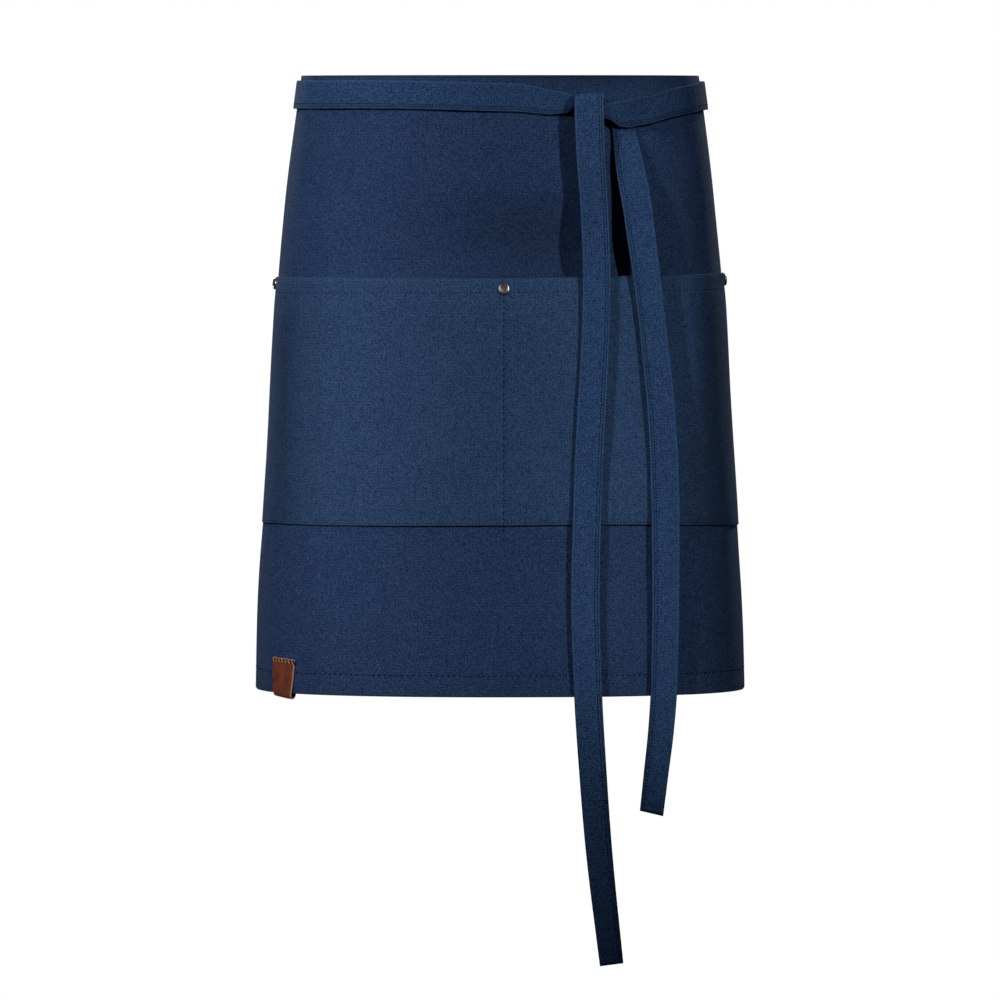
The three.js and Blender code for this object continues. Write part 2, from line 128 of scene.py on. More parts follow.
def between(keys: Array, values: Array, where: Array) -> Array:
    """Monotone cubic steps through values.

    Args:
        keys: Where the values stand, in rising order.
        values: The values.
        where: Where new values are wanted.

    Returns:
        The new values.
    """
    rate = np.diff(values) / np.diff(keys)
    before, after = rate[:-1], rate[1:]
    total = np.where(before * after > 0, before + after, 1.0)
    inner = np.where(before * after > 0, 2 * before * after / total, 0.0)
    slope = np.concatenate([rate[:1], inner, rate[-1:]])
    spot = np.clip(np.asarray(where, float), keys[0], keys[-1])
    i = np.clip(np.searchsorted(keys, spot) - 1, 0, len(keys) - 2)
    span = keys[i + 1] - keys[i]
    t = (spot - keys[i]) / span
    ease = t * t * (3 - 2 * t)
    bend = slope[i] * t * (1 - t) ** 2 - slope[i + 1] * t * t * (1 - t)
    return values[i] * (1 - ease) + values[i + 1] * ease + span * bend


def bell(distance: Array, reach: float) -> Array:
    """A soft bump that is 1 in its middle and fades over its reach."""
    return np.exp(-((distance / reach) ** 2))


def ramped(where: Array, start: float, reach: float) -> Array:
    """Even steps from 0 at a start to 1 past its reach."""
    return np.clip((where - start) / reach, 0.0, 1.0)


def eased(where: Array, start: float, reach: float) -> Array:
    """Soft steps from 0 at a start to 1 past its reach."""
    share = ramped(where, start, reach)
    return share * share * (3 - 2 * share)


def lengths_along(points: Array) -> Array:
    """Distance of each point along a line of points."""
    return np.concatenate([[0.0], np.cumsum(np.linalg.norm(np.diff(points, axis=0), axis=1))])


@dataclass
class WornForm:
    """The shape that the panel takes round the waist, found from an arc length and a height."""

    length: float = 500.0
    roundness: float = 2.25
    sections: Table = Table(
        ("drop", "width", "front", "back"),
        (
            (0, 162, 104, 112),
            (30, 166, 105.5, 115),
            (100, 175, 108, 122),
            (165, 181, 110, 127),
            (300, 188.8, 113, 132),
            (415, 196.2, 115, 135),
            (500, 198.8, 116, 136),
        ),
    )
    folds: Table = Table(
        ("s", "drop", "reach", "fall", "rise"),
        (
            (2, 145, 55, 30, -2),
            (40, 138, 110, 38, -5.5),
            (3, 105, 5, 50, -0.5),
            (-152, 340, 14, 170, 1.5),
            (166, 340, 16, 170, 1.3),
            (-308, 470, 36, 200, 6),
            (306, 460, 38, 190, 5),
            (-352, 450, 28, 180, -4),
            (350, 450, 28, 180, -4),
        ),
    )
    ripples: Table = Table(
        ("across", "down", "phase", "rise"),
        ((96, 410, 0.4, 0.22), (61, -270, 1.9, 0.14), (143, 160, 3.1, 0.2), (37, 520, 5.2, 0.06)),
    )
    drop_step: float = 4.0
    turn_count: int = 721
    arc_count: int = 471
    arc_spare: float = 1.001
    search_past: float = 20.0
    search_steps: int = 40
    angles: Array = field(init=False)
    girths: Array = field(init=False)

    def __post_init__(self) -> None:
        """Works out the angle at each whole millimetre of arc, on lines down the form."""
        turn = np.linspace(0.0, math.pi, self.turn_count)
        reach = np.arange(0.0, self.arc_count)
        rows, girths = [], []
        for drop in np.arange(0.0, self.length + 1, self.drop_step):
            x, y = self.rim(turn, np.full_like(turn, drop))
            arc = np.concatenate([[0.0], np.cumsum(np.hypot(np.diff(x), np.diff(y)))])
            rows.append(np.interp(reach, arc, turn))
            girths.append(arc[-1])
        self.angles, self.girths = np.array(rows), np.array(girths)

    def rim(self, angle: Array, drop: Array) -> tuple[Array, Array]:
        """A level section's outline.

        Args:
            angle: Turn from the front's middle towards +X.
            drop: Distance below the top edge.

        Returns:
            X and Y of the panel's outer face.
        """
        section = self.sections.at(drop)
        depth = np.where(np.abs(angle) < math.pi / 2, section["front"], section["back"])
        across = np.abs(np.sin(angle)) / section["width"]
        along = np.abs(np.cos(angle)) / depth
        reach = (across**self.roundness + along**self.roundness) ** (-1 / self.roundness)
        return reach * np.sin(angle), -reach * np.cos(angle)

    def outward(self, angle: Array, drop: Array, nudge: float = 0.01) -> tuple[Array, Array]:
        """The level direction out of the outline.

        Args:
            angle: Turn from the front's middle towards +X.
            drop: Distance below the top edge.
            nudge: Half the turn between the two points that give the direction.

        Returns:
            X and Y of the direction.
        """
        ahead, behind = self.rim(angle + nudge, drop), self.rim(angle - nudge, drop)
        x, y = ahead[0] - behind[0], ahead[1] - behind[1]
        size = np.hypot(x, y)
        return y / size, -x / size

    def angle(self, s: Array, drop: Array) -> Array:
        """The turn at an arc length from the front's middle.

        Args:
            s: Arc length, negative towards -X.
            drop: Distance below the top edge.

        Returns:
            The turn there.
        """
        level = np.clip(drop, 0.0, self.length) / self.drop_step
        i = np.minimum(level.astype(int), len(self.angles) - 2)
        arc = np.clip(np.abs(s), 0.0, self.angles.shape[1] - self.arc_spare)
        j = arc.astype(int)
        down, along = level - i, arc - j
        upper = self.angles[i, j] * (1 - along) + self.angles[i, j + 1] * along
        lower = self.angles[i + 1, j] * (1 - along) + self.angles[i + 1, j + 1] * along
        return np.sign(s) * (upper * (1 - down) + lower * down)

    def half_girth(self, drop: float) -> float:
        """Arc length from the front's middle to the back's."""
        return float(np.interp(drop, np.arange(len(self.girths)) * self.drop_step, self.girths))

    def rise(self, s: Array, drop: Array) -> Array:
        """How far folds and ripples lift the cloth off its plain form.

        Args:
            s: Arc length from the front's middle.
            drop: Distance below the top edge.

        Returns:
            The lift.
        """
        total = np.zeros(np.broadcast(s, drop).shape)
        for middle, fall_from, reach, fall, rise in self.folds.rows:
            total = total + rise * bell(s - middle, reach) * bell(drop - fall_from, fall)
        for across, down, phase, rise in self.ripples.rows:
            total = total + rise * np.sin(2 * math.pi * (s / across + drop / down) + phase)
        return total

    def point(self, s: Array, z: Array, off: Array) -> Array:
        """Points over the panel's outer face.

        Args:
            s: Arc length from the front's middle.
            z: Height.
            off: Distance outside the outer face.

        Returns:
            Points, with X, Y and Z last.
        """
        s, z, off = np.broadcast_arrays(np.asarray(s, float), np.asarray(z, float), np.asarray(off, float))
        drop = np.clip(-z, 0.0, self.length)
        angle = self.angle(s, drop)
        x, y = self.rim(angle, drop)
        out_x, out_y = self.outward(angle, drop)
        lift = off + self.rise(s, drop)
        return np.stack([x + out_x * lift, y + out_y * lift, z], axis=-1)

    def normal(self, s: Array, z: Array, nudge: float = 1.0) -> Array:
        """The direction square to the panel's outer face, with its lean.

        Args:
            s: Arc length from the front's middle.
            z: Height.
            nudge: Distance to the points round it that give the direction.

        Returns:
            Directions of length 1.
        """
        across = self.point(s + nudge, z, 0.0) - self.point(s - nudge, z, 0.0)
        up = self.point(s, z + nudge, 0.0) - self.point(s, z - nudge, 0.0)
        out = np.cross(across, up)
        return out / np.linalg.norm(out, axis=-1, keepdims=True)

    def arc_at(self, x: Array, z: Array) -> Array:
        """The arc length on the front half where the plain form has this X.

        Args:
            x: Place along X.
            z: Height.

        Returns:
            The arc length.
        """
        x, z = np.broadcast_arrays(np.asarray(x, float), np.asarray(z, float))
        drop = np.clip(-z, 0.0, self.length)
        low, high = np.zeros_like(x), np.full_like(x, self.half_girth(0.0) / 2 + self.search_past)
        for _ in range(self.search_steps):
            middle = (low + high) / 2
            short = self.rim(self.angle(middle, drop), drop)[0] < np.abs(x)
            low, high = np.where(short, middle, low), np.where(short, high, middle)
        return np.sign(x) * low

    def front(self, x: Array, z: Array, off: Array) -> Array:
        """Points straight in front of the panel, off from its outer face."""
        on = self.point(self.arc_at(x, z), z, 0.0)
        return np.stack([np.asarray(x, float), on[..., 1] - off, np.asarray(z, float)], axis=-1)


class Value:
    """A shader socket that takes part in sums, so that a formula adds its Math nodes."""

    def __init__(self, shade: "Shade", socket: Socket) -> None:
        """Keeps the socket and the material that it is in."""
        self.shade, self.socket = shade, socket

    def math(self, operation: str, *others: "Value | float") -> "Value":
        """A Math node on this value and others.

        Args:
            operation: The Math node's operation.
            others: Values or numbers for its other sockets.

        Returns:
            The node's result.
        """
        inputs = {str(i): v for i, v in enumerate((self, *others))}
        return self.shade.value("ShaderNodeMath", {"operation": operation}, inputs)

    def flipped(self, operation: str, other: float) -> "Value":
        """A Math node with a number before this value."""
        return self.shade.value("ShaderNodeMath", {"operation": operation}, {"0": other, "1": self})

    def __add__(self, other: "Value | float") -> "Value":
        """Sum."""
        return self.math("ADD", other)

    __radd__ = __add__

    def __sub__(self, other: "Value | float") -> "Value":
        """Difference."""
        return self.math("SUBTRACT", other)

    def __rsub__(self, other: float) -> "Value":
        """A number less this value."""
        return self.flipped("SUBTRACT", other)

    def __mul__(self, other: "Value | float") -> "Value":
        """Product."""
        return self.math("MULTIPLY", other)

    __rmul__ = __mul__

    def sine(self) -> "Value":
        """Sine."""
        return self.math("SINE")

    def ramp(self, low: float, high: float) -> "Value":
        """Soft steps from 0 at low to 1 at high."""
        inputs = {"Value": self, "From Min": low, "From Max": high}
        return self.shade.value("ShaderNodeMapRange", {"interpolation_type": "SMOOTHSTEP"}, inputs)


class Shade:
    """One procedural material and the nodes that make it."""

    def __init__(self, name: str) -> None:
        """Starts a material with its main shader alone.

        Args:
            name: The material's name.
        """
        self.material = bpy.data.materials.new(name)
        self.material.use_nodes = True
        self.tree = self.material.node_tree
        self.surface = self.tree.nodes["Principled BSDF"]

    def node(self, kind: str, settings: dict[str, Any], inputs: dict[str, Any]) -> Node:
        """Adds any node.

        Args:
            kind: The node's type.
            settings: Its own settings, set first.
            inputs: Values or links for its sockets, by identifier, name or place.

        Returns:
            The node.
        """
        made = self.tree.nodes.new(kind)
        for key, setting in settings.items():
            setattr(made, key, setting)
        for key, given in inputs.items():
            self.feed(made, key, given)
        return made

    def feed(self, node: Node, key: str, given: Any) -> None:
        """Sets or links one socket of a node.

        Args:
            node: The node.
            key: The socket's identifier, name or place.
            given: A number, a colour, a socket or a Value.
        """
        found = [s for s in node.inputs if s.identifier == key] or [s for s in node.inputs if s.name == key]
        socket = found[0] if found else node.inputs[int(key)]
        if isinstance(given, Value):
            self.tree.links.new(given.socket, socket)
        elif isinstance(given, Socket):
            self.tree.links.new(given, socket)
        else:
            socket.default_value = given

    def value(self, kind: str, settings: dict[str, Any], inputs: dict[str, Any], output: int = 0) -> Value:
        """Adds a node and gives one of its outputs as a Value."""
        return Value(self, self.node(kind, settings, inputs).outputs[output])

    def place(self) -> Socket:
        """The object's own coordinates."""
        return self.node("ShaderNodeTexCoord", {}, {}).outputs["Object"]

    def attribute(self, name: str) -> Value:
        """A number kept on the mesh."""
        return self.value("ShaderNodeAttribute", {"attribute_name": name}, {}, 2)

    def noise(self, vector: Socket, scale: float, detail: float) -> Value:
        """Soft noise from 0 to 1 over a vector."""
        return self.value("ShaderNodeTexNoise", {}, {"Vector": vector, "Scale": scale, "Detail": detail})

    def stretched(self, vector: Socket, turn: float, scale: Sequence[float]) -> Socket:
        """A vector turned about Z and scaled."""
        inputs = {"Vector": vector, "Rotation": (0.0, 0.0, turn), "Scale": tuple(scale)}
        return self.node("ShaderNodeMapping", {"vector_type": "TEXTURE"}, inputs).outputs[0]

    def mix(self, factor: Value, low: Any, high: Any) -> Socket:
        """A colour between two, by a factor."""
        inputs = {"Factor_Float": factor, "A_Color": low, "B_Color": high}
        return self.node("ShaderNodeMix", {"data_type": "RGBA"}, inputs).outputs[2]

    def bump(self, height: Value, strength: float, distance: float) -> None:
        """Bends the surface's normal by a height.

        Args:
            height: The height, about 0 to 1.
            strength: How much of it shows.
            distance: The height's size in metres.
        """
        inputs = {"Strength": strength, "Distance": distance, "Height": height}
        self.feed(self.surface, "Normal", self.node("ShaderNodeBump", {}, inputs).outputs[0])

    def paint(self, inputs: dict[str, Any]) -> Material:
        """Feeds the main shader.

        Args:
            inputs: Values or links for its sockets, by name.

        Returns:
            The finished material.
        """
        for key, given in inputs.items():
            self.feed(self.surface, key, given)
        return self.material


@dataclass(frozen=True)
class Twill:
    """Matt navy cotton twill with slubs and mottled dye, paler at its edges from rubbed wear and a painted
    highlight, and darkened where the mesh marks painted shade.
    """

    name: str = "navy_twill"
    deep: Colour = (0.0024, 0.0125, 0.0460, 1.0)
    pale: Colour = (0.0340, 0.0690, 0.1590, 1.0)
    # Colour of the rubbed edges, pale for wear and for a painted highlight.
    worn: Colour = (0.0450, 0.0930, 0.1980, 1.0)
    shadow: Colour = (0.0010, 0.0020, 0.0060, 1.0)
    # Scale on the dye colours; the pocket and tie copies use it as painted light.
    tone: tuple[float, float, float] = (1.0, 1.0, 1.0)
    contrast: float = 1.4
    rib: float = 2.34
    cord: float = 2.34
    yarn: float = 0.3
    yarn_stretch: float = 1.4
    yarn_turn: float = 45.0
    slub: float = 0.6
    warp_run: float = 17.0
    weft_run: float = 21.0
    cloud: float = 46.0
    yarn_share: float = 3.6
    slub_share: float = 0.5
    cord_share: float = 0.1
    rib_share: float = 0.3
    cloud_share: float = 0.35
    dye_from: float = -0.25
    dye_to: float = 1.25
    # How far the edges pale: rubbed wear and a painted highlight.
    rub: float = 0.22
    rub_yarn: float = 0.45
    roughness: float = 0.86
    rough_grain: float = 0.06
    bump_ribs: float = 0.5
    bump_grain: float = 0.3
    bump_strength: float = 0.5
    bump_depth: float = 0.0002
    sheen: float = 0.04
    sheen_roughness: float = 0.45
    sheen_tint: Colour = (0.55, 0.68, 0.95, 1.0)
    gloss: float = 0.12

    def toned(self, colour: Colour) -> Colour:
        """A colour at this cloth's tone."""
        return (*(tone * part for tone, part in zip(self.tone, colour)), 1.0)

    def material(self) -> Material:
        """Builds the cloth's material over its own UV map, which is in metres.

        Returns:
            The material.
        """
        shade = Shade(self.name)
        metres = shade.node("ShaderNodeUVMap", {"uv_map": CLOTH_UV}, {}).outputs[0]
        grow = {"Vector": metres, "Scale": 1 / MM}
        laid = shade.node("ShaderNodeVectorMath", {"operation": "SCALE"}, grow).outputs[0]
        parts = shade.node("ShaderNodeSeparateXYZ", {}, {"Vector": laid})
        across, down = Value(shade, parts.outputs[0]), Value(shade, parts.outputs[1])
        ribs = ((across - down) * (2 * math.pi / self.rib)).sine() * 0.5 + 0.5
        cords = (across * (2 * math.pi / self.cord)).sine() + (down * (2 * math.pi / self.cord)).sine()
        size = (self.yarn, self.yarn * self.yarn_stretch, 1)
        picks = {"Vector": shade.stretched(laid, math.radians(self.yarn_turn), size), "Scale": 1.0}
        yarn = shade.value("ShaderNodeTexVoronoi", {"voronoi_dimensions": "2D"}, picks, 1)
        warp = shade.noise(shade.stretched(laid, 0.0, (self.slub, self.warp_run, 1)), 1.0, 1.0)
        weft = shade.noise(shade.stretched(laid, 0.0, (self.weft_run, self.slub, 1)), 1.0, 1.0)
        clouds = shade.noise(shade.stretched(laid, 0.0, (self.cloud, self.cloud, 1)), 1.0, 2.0)
        grain = (yarn - 0.5) * self.yarn_share
        grain = grain + (warp - 0.5) * self.slub_share + (weft - 0.5) * self.slub_share
        grain = grain + cords * self.cord_share + (ribs - 0.5) * self.rib_share
        mottle = grain * self.contrast + (clouds - 0.5) * self.cloud_share + 0.5
        dye = mottle.ramp(self.dye_from, self.dye_to)
        dyed = shade.mix(dye, self.toned(self.deep), self.toned(self.pale))
        # Rubbed edge wear, raised to stand in for a painted highlight as well.
        rubbed_and_highlit = shade.attribute(EDGE_WEAR_AND_HIGHLIGHT) * (self.rub + self.rub_yarn * yarn)
        worn_and_highlit = shade.mix(rubbed_and_highlit, dyed, self.toned(self.worn))
        shade.bump(ribs * self.bump_ribs + grain * self.bump_grain, self.bump_strength, self.bump_depth)
        return shade.paint(
            {
                # Painted shade: the shade mark mixes the cloth towards the near-black shadow colour.
                "Base Color": shade.mix(shade.attribute(PAINTED_SHADE), worn_and_highlit, self.shadow),
                "Roughness": self.roughness + grain * self.rough_grain,
                "Sheen Weight": self.sheen,
                "Sheen Roughness": self.sheen_roughness,
                "Sheen Tint": self.sheen_tint,
                "Specular IOR Level": self.gloss,
            }
        )


@dataclass(frozen=True)
class Thread:
    """Twisted sewing thread, or the near-black marks of painted shade in the needle holes beside it."""

    name: str
    deep: Colour
    pale: Colour
    twist: float = 0.5
    roughness: float = 0.8
    gloss: float = 0.1
    lay: float = 0.6
    rough_fibre: float = 0.2
    bump_strength: float = 0.4
    bump_depth: float = 0.0001

    def material(self) -> Material:
        """Builds the thread's material over the object's own coordinates.

        Returns:
            The material.
        """
        shade = Shade(self.name)
        fibre = shade.noise(shade.stretched(shade.place(), self.lay, (self.twist * MM,) * 3), 1.0, 2.0)
        shade.bump(fibre, self.bump_strength, self.bump_depth)
        return shade.paint(
            {
                "Base Color": shade.mix(fibre, self.deep, self.pale),
                "Roughness": self.roughness + (fibre - 0.5) * self.rough_fibre,
                "Specular IOR Level": self.gloss,
            }
        )


@dataclass(frozen=True)
class Leather:
    """Smooth brown leather with pores, or its raw cut edge."""

    name: str
    deep: Colour
    pale: Colour
    grain: float = 0.75
    cloud: float = 9.0
    roughness: float = 0.48
    depth: float = 0.00012
    turn: float = 0.3
    fibre_scale: float = 1.4
    cloud_share: float = 0.65
    fibre_share: float = 0.35
    pore_share: float = 0.12
    tone_from: float = 0.25
    tone_to: float = 0.75
    rough_fibre: float = 0.25
    bump_pores: float = 0.7
    bump_fibre: float = 0.5
    bump_strength: float = 0.5

    def material(self) -> Material:
        """Builds the leather's material over the object's own coordinates.

        Returns:
            The material.
        """
        shade = Shade(self.name)
        place = shade.place()
        fine = shade.stretched(place, self.turn, (self.grain * MM,) * 3)
        pores = shade.value("ShaderNodeTexVoronoi", {}, {"Vector": fine, "Scale": 1.0})
        fibre = shade.noise(fine, self.fibre_scale, 3.0)
        cloud = shade.noise(shade.stretched(place, 0.0, (self.cloud * MM,) * 3), 1.0, 2.0)
        tone = cloud * self.cloud_share + fibre * self.fibre_share + (pores - 0.5) * self.pore_share
        tone = tone.ramp(self.tone_from, self.tone_to)
        shade.bump(pores * self.bump_pores + fibre * self.bump_fibre, self.bump_strength, self.depth)
        return shade.paint(
            {
                "Base Color": shade.mix(tone, self.deep, self.pale),
                "Roughness": self.roughness + (fibre - 0.5) * self.rough_fibre,
            }
        )


@dataclass(frozen=True)
class Gunmetal:
    """Polished dark metal with fine rubbing marks."""

    name: str = "gunmetal"
    deep: Colour = (0.28, 0.277, 0.274, 1.0)
    pale: Colour = (0.43, 0.425, 0.42, 1.0)
    mark: float = 0.6
    mark_stretch: float = 4.0
    mark_turn: float = 0.9
    tone_from: float = 0.3
    tone_to: float = 0.7
    roughness: float = 0.34
    rough_mark: float = 0.16
    bump_strength: float = 0.12
    bump_depth: float = 0.00005

    def material(self) -> Material:
        """Builds the metal's material over the object's own coordinates.

        Returns:
            The material.
        """
        shade = Shade(self.name)
        size = (self.mark * MM, self.mark_stretch * self.mark * MM, self.mark * MM)
        marks = shade.noise(shade.stretched(shade.place(), self.mark_turn, size), 1.0, 3.0)
        tone = marks.ramp(self.tone_from, self.tone_to)
        shade.bump(marks, self.bump_strength, self.bump_depth)
        return shade.paint(
            {
                "Base Color": shade.mix(tone, self.deep, self.pale),
                "Roughness": self.roughness + (marks - 0.5) * self.rough_mark,
                "Metallic": 1.0,
            }
        )


@dataclass(frozen=True)
class Plaster:
    """Plain pale floor, which throws little light back."""

    name: str = "pale_floor"
    deep: Colour = (0.050, 0.050, 0.050, 1.0)
    pale: Colour = (0.060, 0.060, 0.060, 1.0)
    dark: Colour = (0.0, 0.0, 0.0, 1.0)
    glow: Colour = (0.76, 0.76, 0.755, 1.0)
    cloud_scale: float = 3.0
    roughness: float = 0.9

    def material(self) -> Material:
        """Builds the floor's material over the object's own coordinates.

        Returns:
            The material.
        """
        shade = Shade(self.name)
        clouds = shade.noise(shade.place(), self.cloud_scale, 2.0)
        seen = shade.value("ShaderNodeLightPath", {}, {})
        return shade.paint(
            {
                "Base Color": shade.mix(clouds, self.deep, self.pale),
                "Roughness": self.roughness,
                "Emission Color": shade.mix(seen, self.dark, self.glow),
                "Emission Strength": 1.0,
            }
        )


@dataclass
class Finishes:
    """Every material of the apron, made once."""

    twill: Material
    pocket_twill: Material
    tie_twill: Material
    thread: Material
    prick: Material
    waxed_thread: Material
    leather: Material
    raw_edge: Material
    metal: Material

    @classmethod
    def make(cls) -> "Finishes":
        """Builds the materials.

        Returns:
            The set.
        """
        navy = Thread("navy_thread", (0.010, 0.022, 0.052, 1.0), (0.030, 0.060, 0.130, 1.0))
        # Near-black marks that paint the shade in the needle holes.
        prick = Thread("needle_prick", (0.002, 0.003, 0.006, 1.0), (0.004, 0.006, 0.012, 1.0), roughness=0.95)
        waxed = Thread(
            "waxed_brown_thread",
            (0.22, 0.095, 0.055, 1.0),
            (0.60, 0.33, 0.21, 1.0),
            twist=1.1,
            roughness=0.55,
            gloss=0.4,
        )
        leather = Leather("brown_leather", (0.074, 0.0165, 0.0084, 1.0), (0.232, 0.055, 0.0195, 1.0))
        edge = Leather(
            "raw_leather_edge",
            (0.30, 0.135, 0.085, 1.0),
            (0.60, 0.325, 0.225, 1.0),
            grain=0.5,
            cloud=5.0,
            roughness=0.75,
            depth=0.0002,
        )
        # Lighter copies of the same twill for the pocket and the ties: painted light, as they catch more
        # light than the panel.
        pocket = Twill("navy_twill_pocket", tone=(1.28, 1.32, 1.2), contrast=0.88)
        ties = Twill("navy_twill_tie", tone=(1.08, 1.25, 1.23))
        kinds = (Twill(), pocket, ties, navy, prick, waxed, leather, edge, Gunmetal())
        return cls(*(kind.material() for kind in kinds))


def place_object(name: str, mesh: Mesh, materials: Sequence[Material]) -> Piece:
    """Puts a finished mesh into the scene, at the origin.

    Args:
        name: The piece's name.
        mesh: Its mesh, in metres.
        materials: Materials for its slots.

    Returns:
        The object.
    """
    mesh.name = name
    if mesh.materials:
        mesh.materials.clear()
    for material in materials:
        mesh.materials.append(material)
    piece = bpy.data.objects.new(name, mesh)
    bpy.context.scene.collection.objects.link(piece)
    return piece


def mesh_of(name: str, points: Array, faces: Faces, laid: Array, marks: dict[str, Array]) -> Mesh:
    """Makes a smooth mesh with the cloth's UV map and the marks on its points.

    Args:
        name: The mesh's name.
        points: Points in millimetres.
        faces: Point numbers of each face.
        laid: Each point's place on the flat cloth, in millimetres.
        marks: Numbers from 0 to 1 that are kept on the points, by name.

    Returns:
        The mesh, in metres.
    """
    mesh = bpy.data.meshes.new(name)
    mesh.from_pydata((points * MM).tolist(), [], faces)
    corner = np.zeros(len(mesh.loops), np.int32)
    mesh.loops.foreach_get("vertex_index", corner)
    mesh.uv_layers.new(name=CLOTH_UV).data.foreach_set("uv", (laid[corner] * MM).astype(np.float32).ravel())
    for key, values in marks.items():
        mesh.attributes.new(key, "FLOAT", "POINT").data.foreach_set("value", values.astype(np.float32))
    mesh.polygons.foreach_set("use_smooth", np.ones(len(mesh.polygons), bool))
    mesh.update()
    return mesh


def lines_between(low: float, high: float, step: float, radius: float, kept: Sequence[float] = ()) -> Array:
    """Grid lines from edge to edge: close together round each edge and even between them.

    Args:
        low: The first edge.
        high: The last edge.
        step: Largest distance between lines.
        radius: How far each edge is rounded.
        kept: Lines that are always there.

    Returns:
        The lines in rising order.
    """
    rounding = radius * (1 - np.cos(np.linspace(0.0, math.pi / 2, EDGE_LINES)))
    fixed = np.concatenate([low + rounding, high - rounding, np.asarray(kept, float)])
    count = math.ceil((high - low - 2 * radius) / step)
    even = np.linspace(low + radius, high - radius, count + 1)
    clear = even[np.min(np.abs(even[:, None] - fixed[None, :]), axis=1) > LINE_CLEARANCE * step]
    return np.unique(np.round(np.concatenate([fixed, clear]), 6))


def rounding_at(distance: Array, radius: float) -> Array:
    """Share of the full thickness at a distance inside a rounded edge."""
    return np.sqrt(1 - (1 - np.clip(distance / radius, 0.0, 1.0)) ** 2)


@dataclass
class Wall:
    """A closed sheet of cloth or leather between an outer and an inner face that meet at rounded edges."""

    name: str
    across: Array
    down: Array
    offsets: Offsets
    place: Placing
    # Painted shade at each grid point, from 0 to 1.
    crease: Callable[[Array, Array], Array]
    edge_fade: float = 1.6
    laid_from: tuple[float, float] = (0.0, 0.0)

    def edge_distance(self) -> Array:
        """Distance of each grid point to the nearest edge.

        Returns:
            Distances, one row for each line down.
        """
        sideways = np.minimum(self.across - self.across[0], self.across[-1] - self.across)
        upright = np.minimum(self.down - self.down[0], self.down[-1] - self.down)
        return np.minimum(sideways[None, :], upright[:, None])

    def mesh(self) -> Mesh:
        """Builds the sheet.

        Returns:
            Its mesh, with the outer faces first.
        """
        s, d = np.meshgrid(self.across, self.down)
        rows, columns = s.shape
        outer, inner = self.offsets(s, d)
        rim = np.ones((rows, columns), bool)
        rim[1:-1, 1:-1] = False
        front = np.arange(rows * columns).reshape(rows, columns)
        back = front.copy()
        back[~rim] = rows * columns + np.arange(np.count_nonzero(~rim))
        points = np.concatenate([self.place(s, d, outer).reshape(-1, 3), self.place(s, d, inner)[~rim]])
        laid = np.stack([s + self.laid_from[0], self.laid_from[1] - d], axis=-1)
        faces = self.quads(front) + self.quads(back[:, ::-1])
        flat = np.concatenate([laid.reshape(-1, 2), laid[~rim]])
        # Marks on the points: the edge mark is rubbed wear that also stands in for a painted highlight; the
        # shade mark is painted shade.
        values = {EDGE_WEAR_AND_HIGHLIGHT: bell(self.edge_distance(), self.edge_fade), PAINTED_SHADE: self.crease(s, d)}
        marks = {key: np.concatenate([value.ravel(), value[~rim]]) for key, value in values.items()}
        return mesh_of(self.name, points, faces, flat, marks)

    @staticmethod
    def quads(grid: Array) -> Faces:
        """The faces between a grid's points."""
        corners = (grid[:-1, :-1], grid[1:, :-1], grid[1:, 1:], grid[:-1, 1:])
        return [tuple(quad) for quad in np.stack([c.ravel() for c in corners], axis=1).tolist()]


@dataclass
class Run:
    """A line of stitches: points on a surface and the directions out of it."""

    points: Array
    lifts: Array


def run_mesh(name: str, runs: Sequence[Run]) -> Mesh:
    """Lines of edges for stitches to follow.

    Args:
        name: The mesh's name.
        runs: The lines, in millimetres.

    Returns:
        A mesh in metres with each point's direction out of its surface.
    """
    mesh = bpy.data.meshes.new(name)
    edges, start = [], 0
    for run in runs:
        edges += [(start + i, start + i + 1) for i in range(len(run.points) - 1)]
        start += len(run.points)
    mesh.from_pydata((np.concatenate([run.points for run in runs]) * MM).tolist(), edges, [])
    lifts = np.concatenate([run.lifts for run in runs]).astype(np.float32)
    mesh.attributes.new(LIFT, "FLOAT_VECTOR", "POINT").data.foreach_set("vector", lifts.ravel())
    return mesh


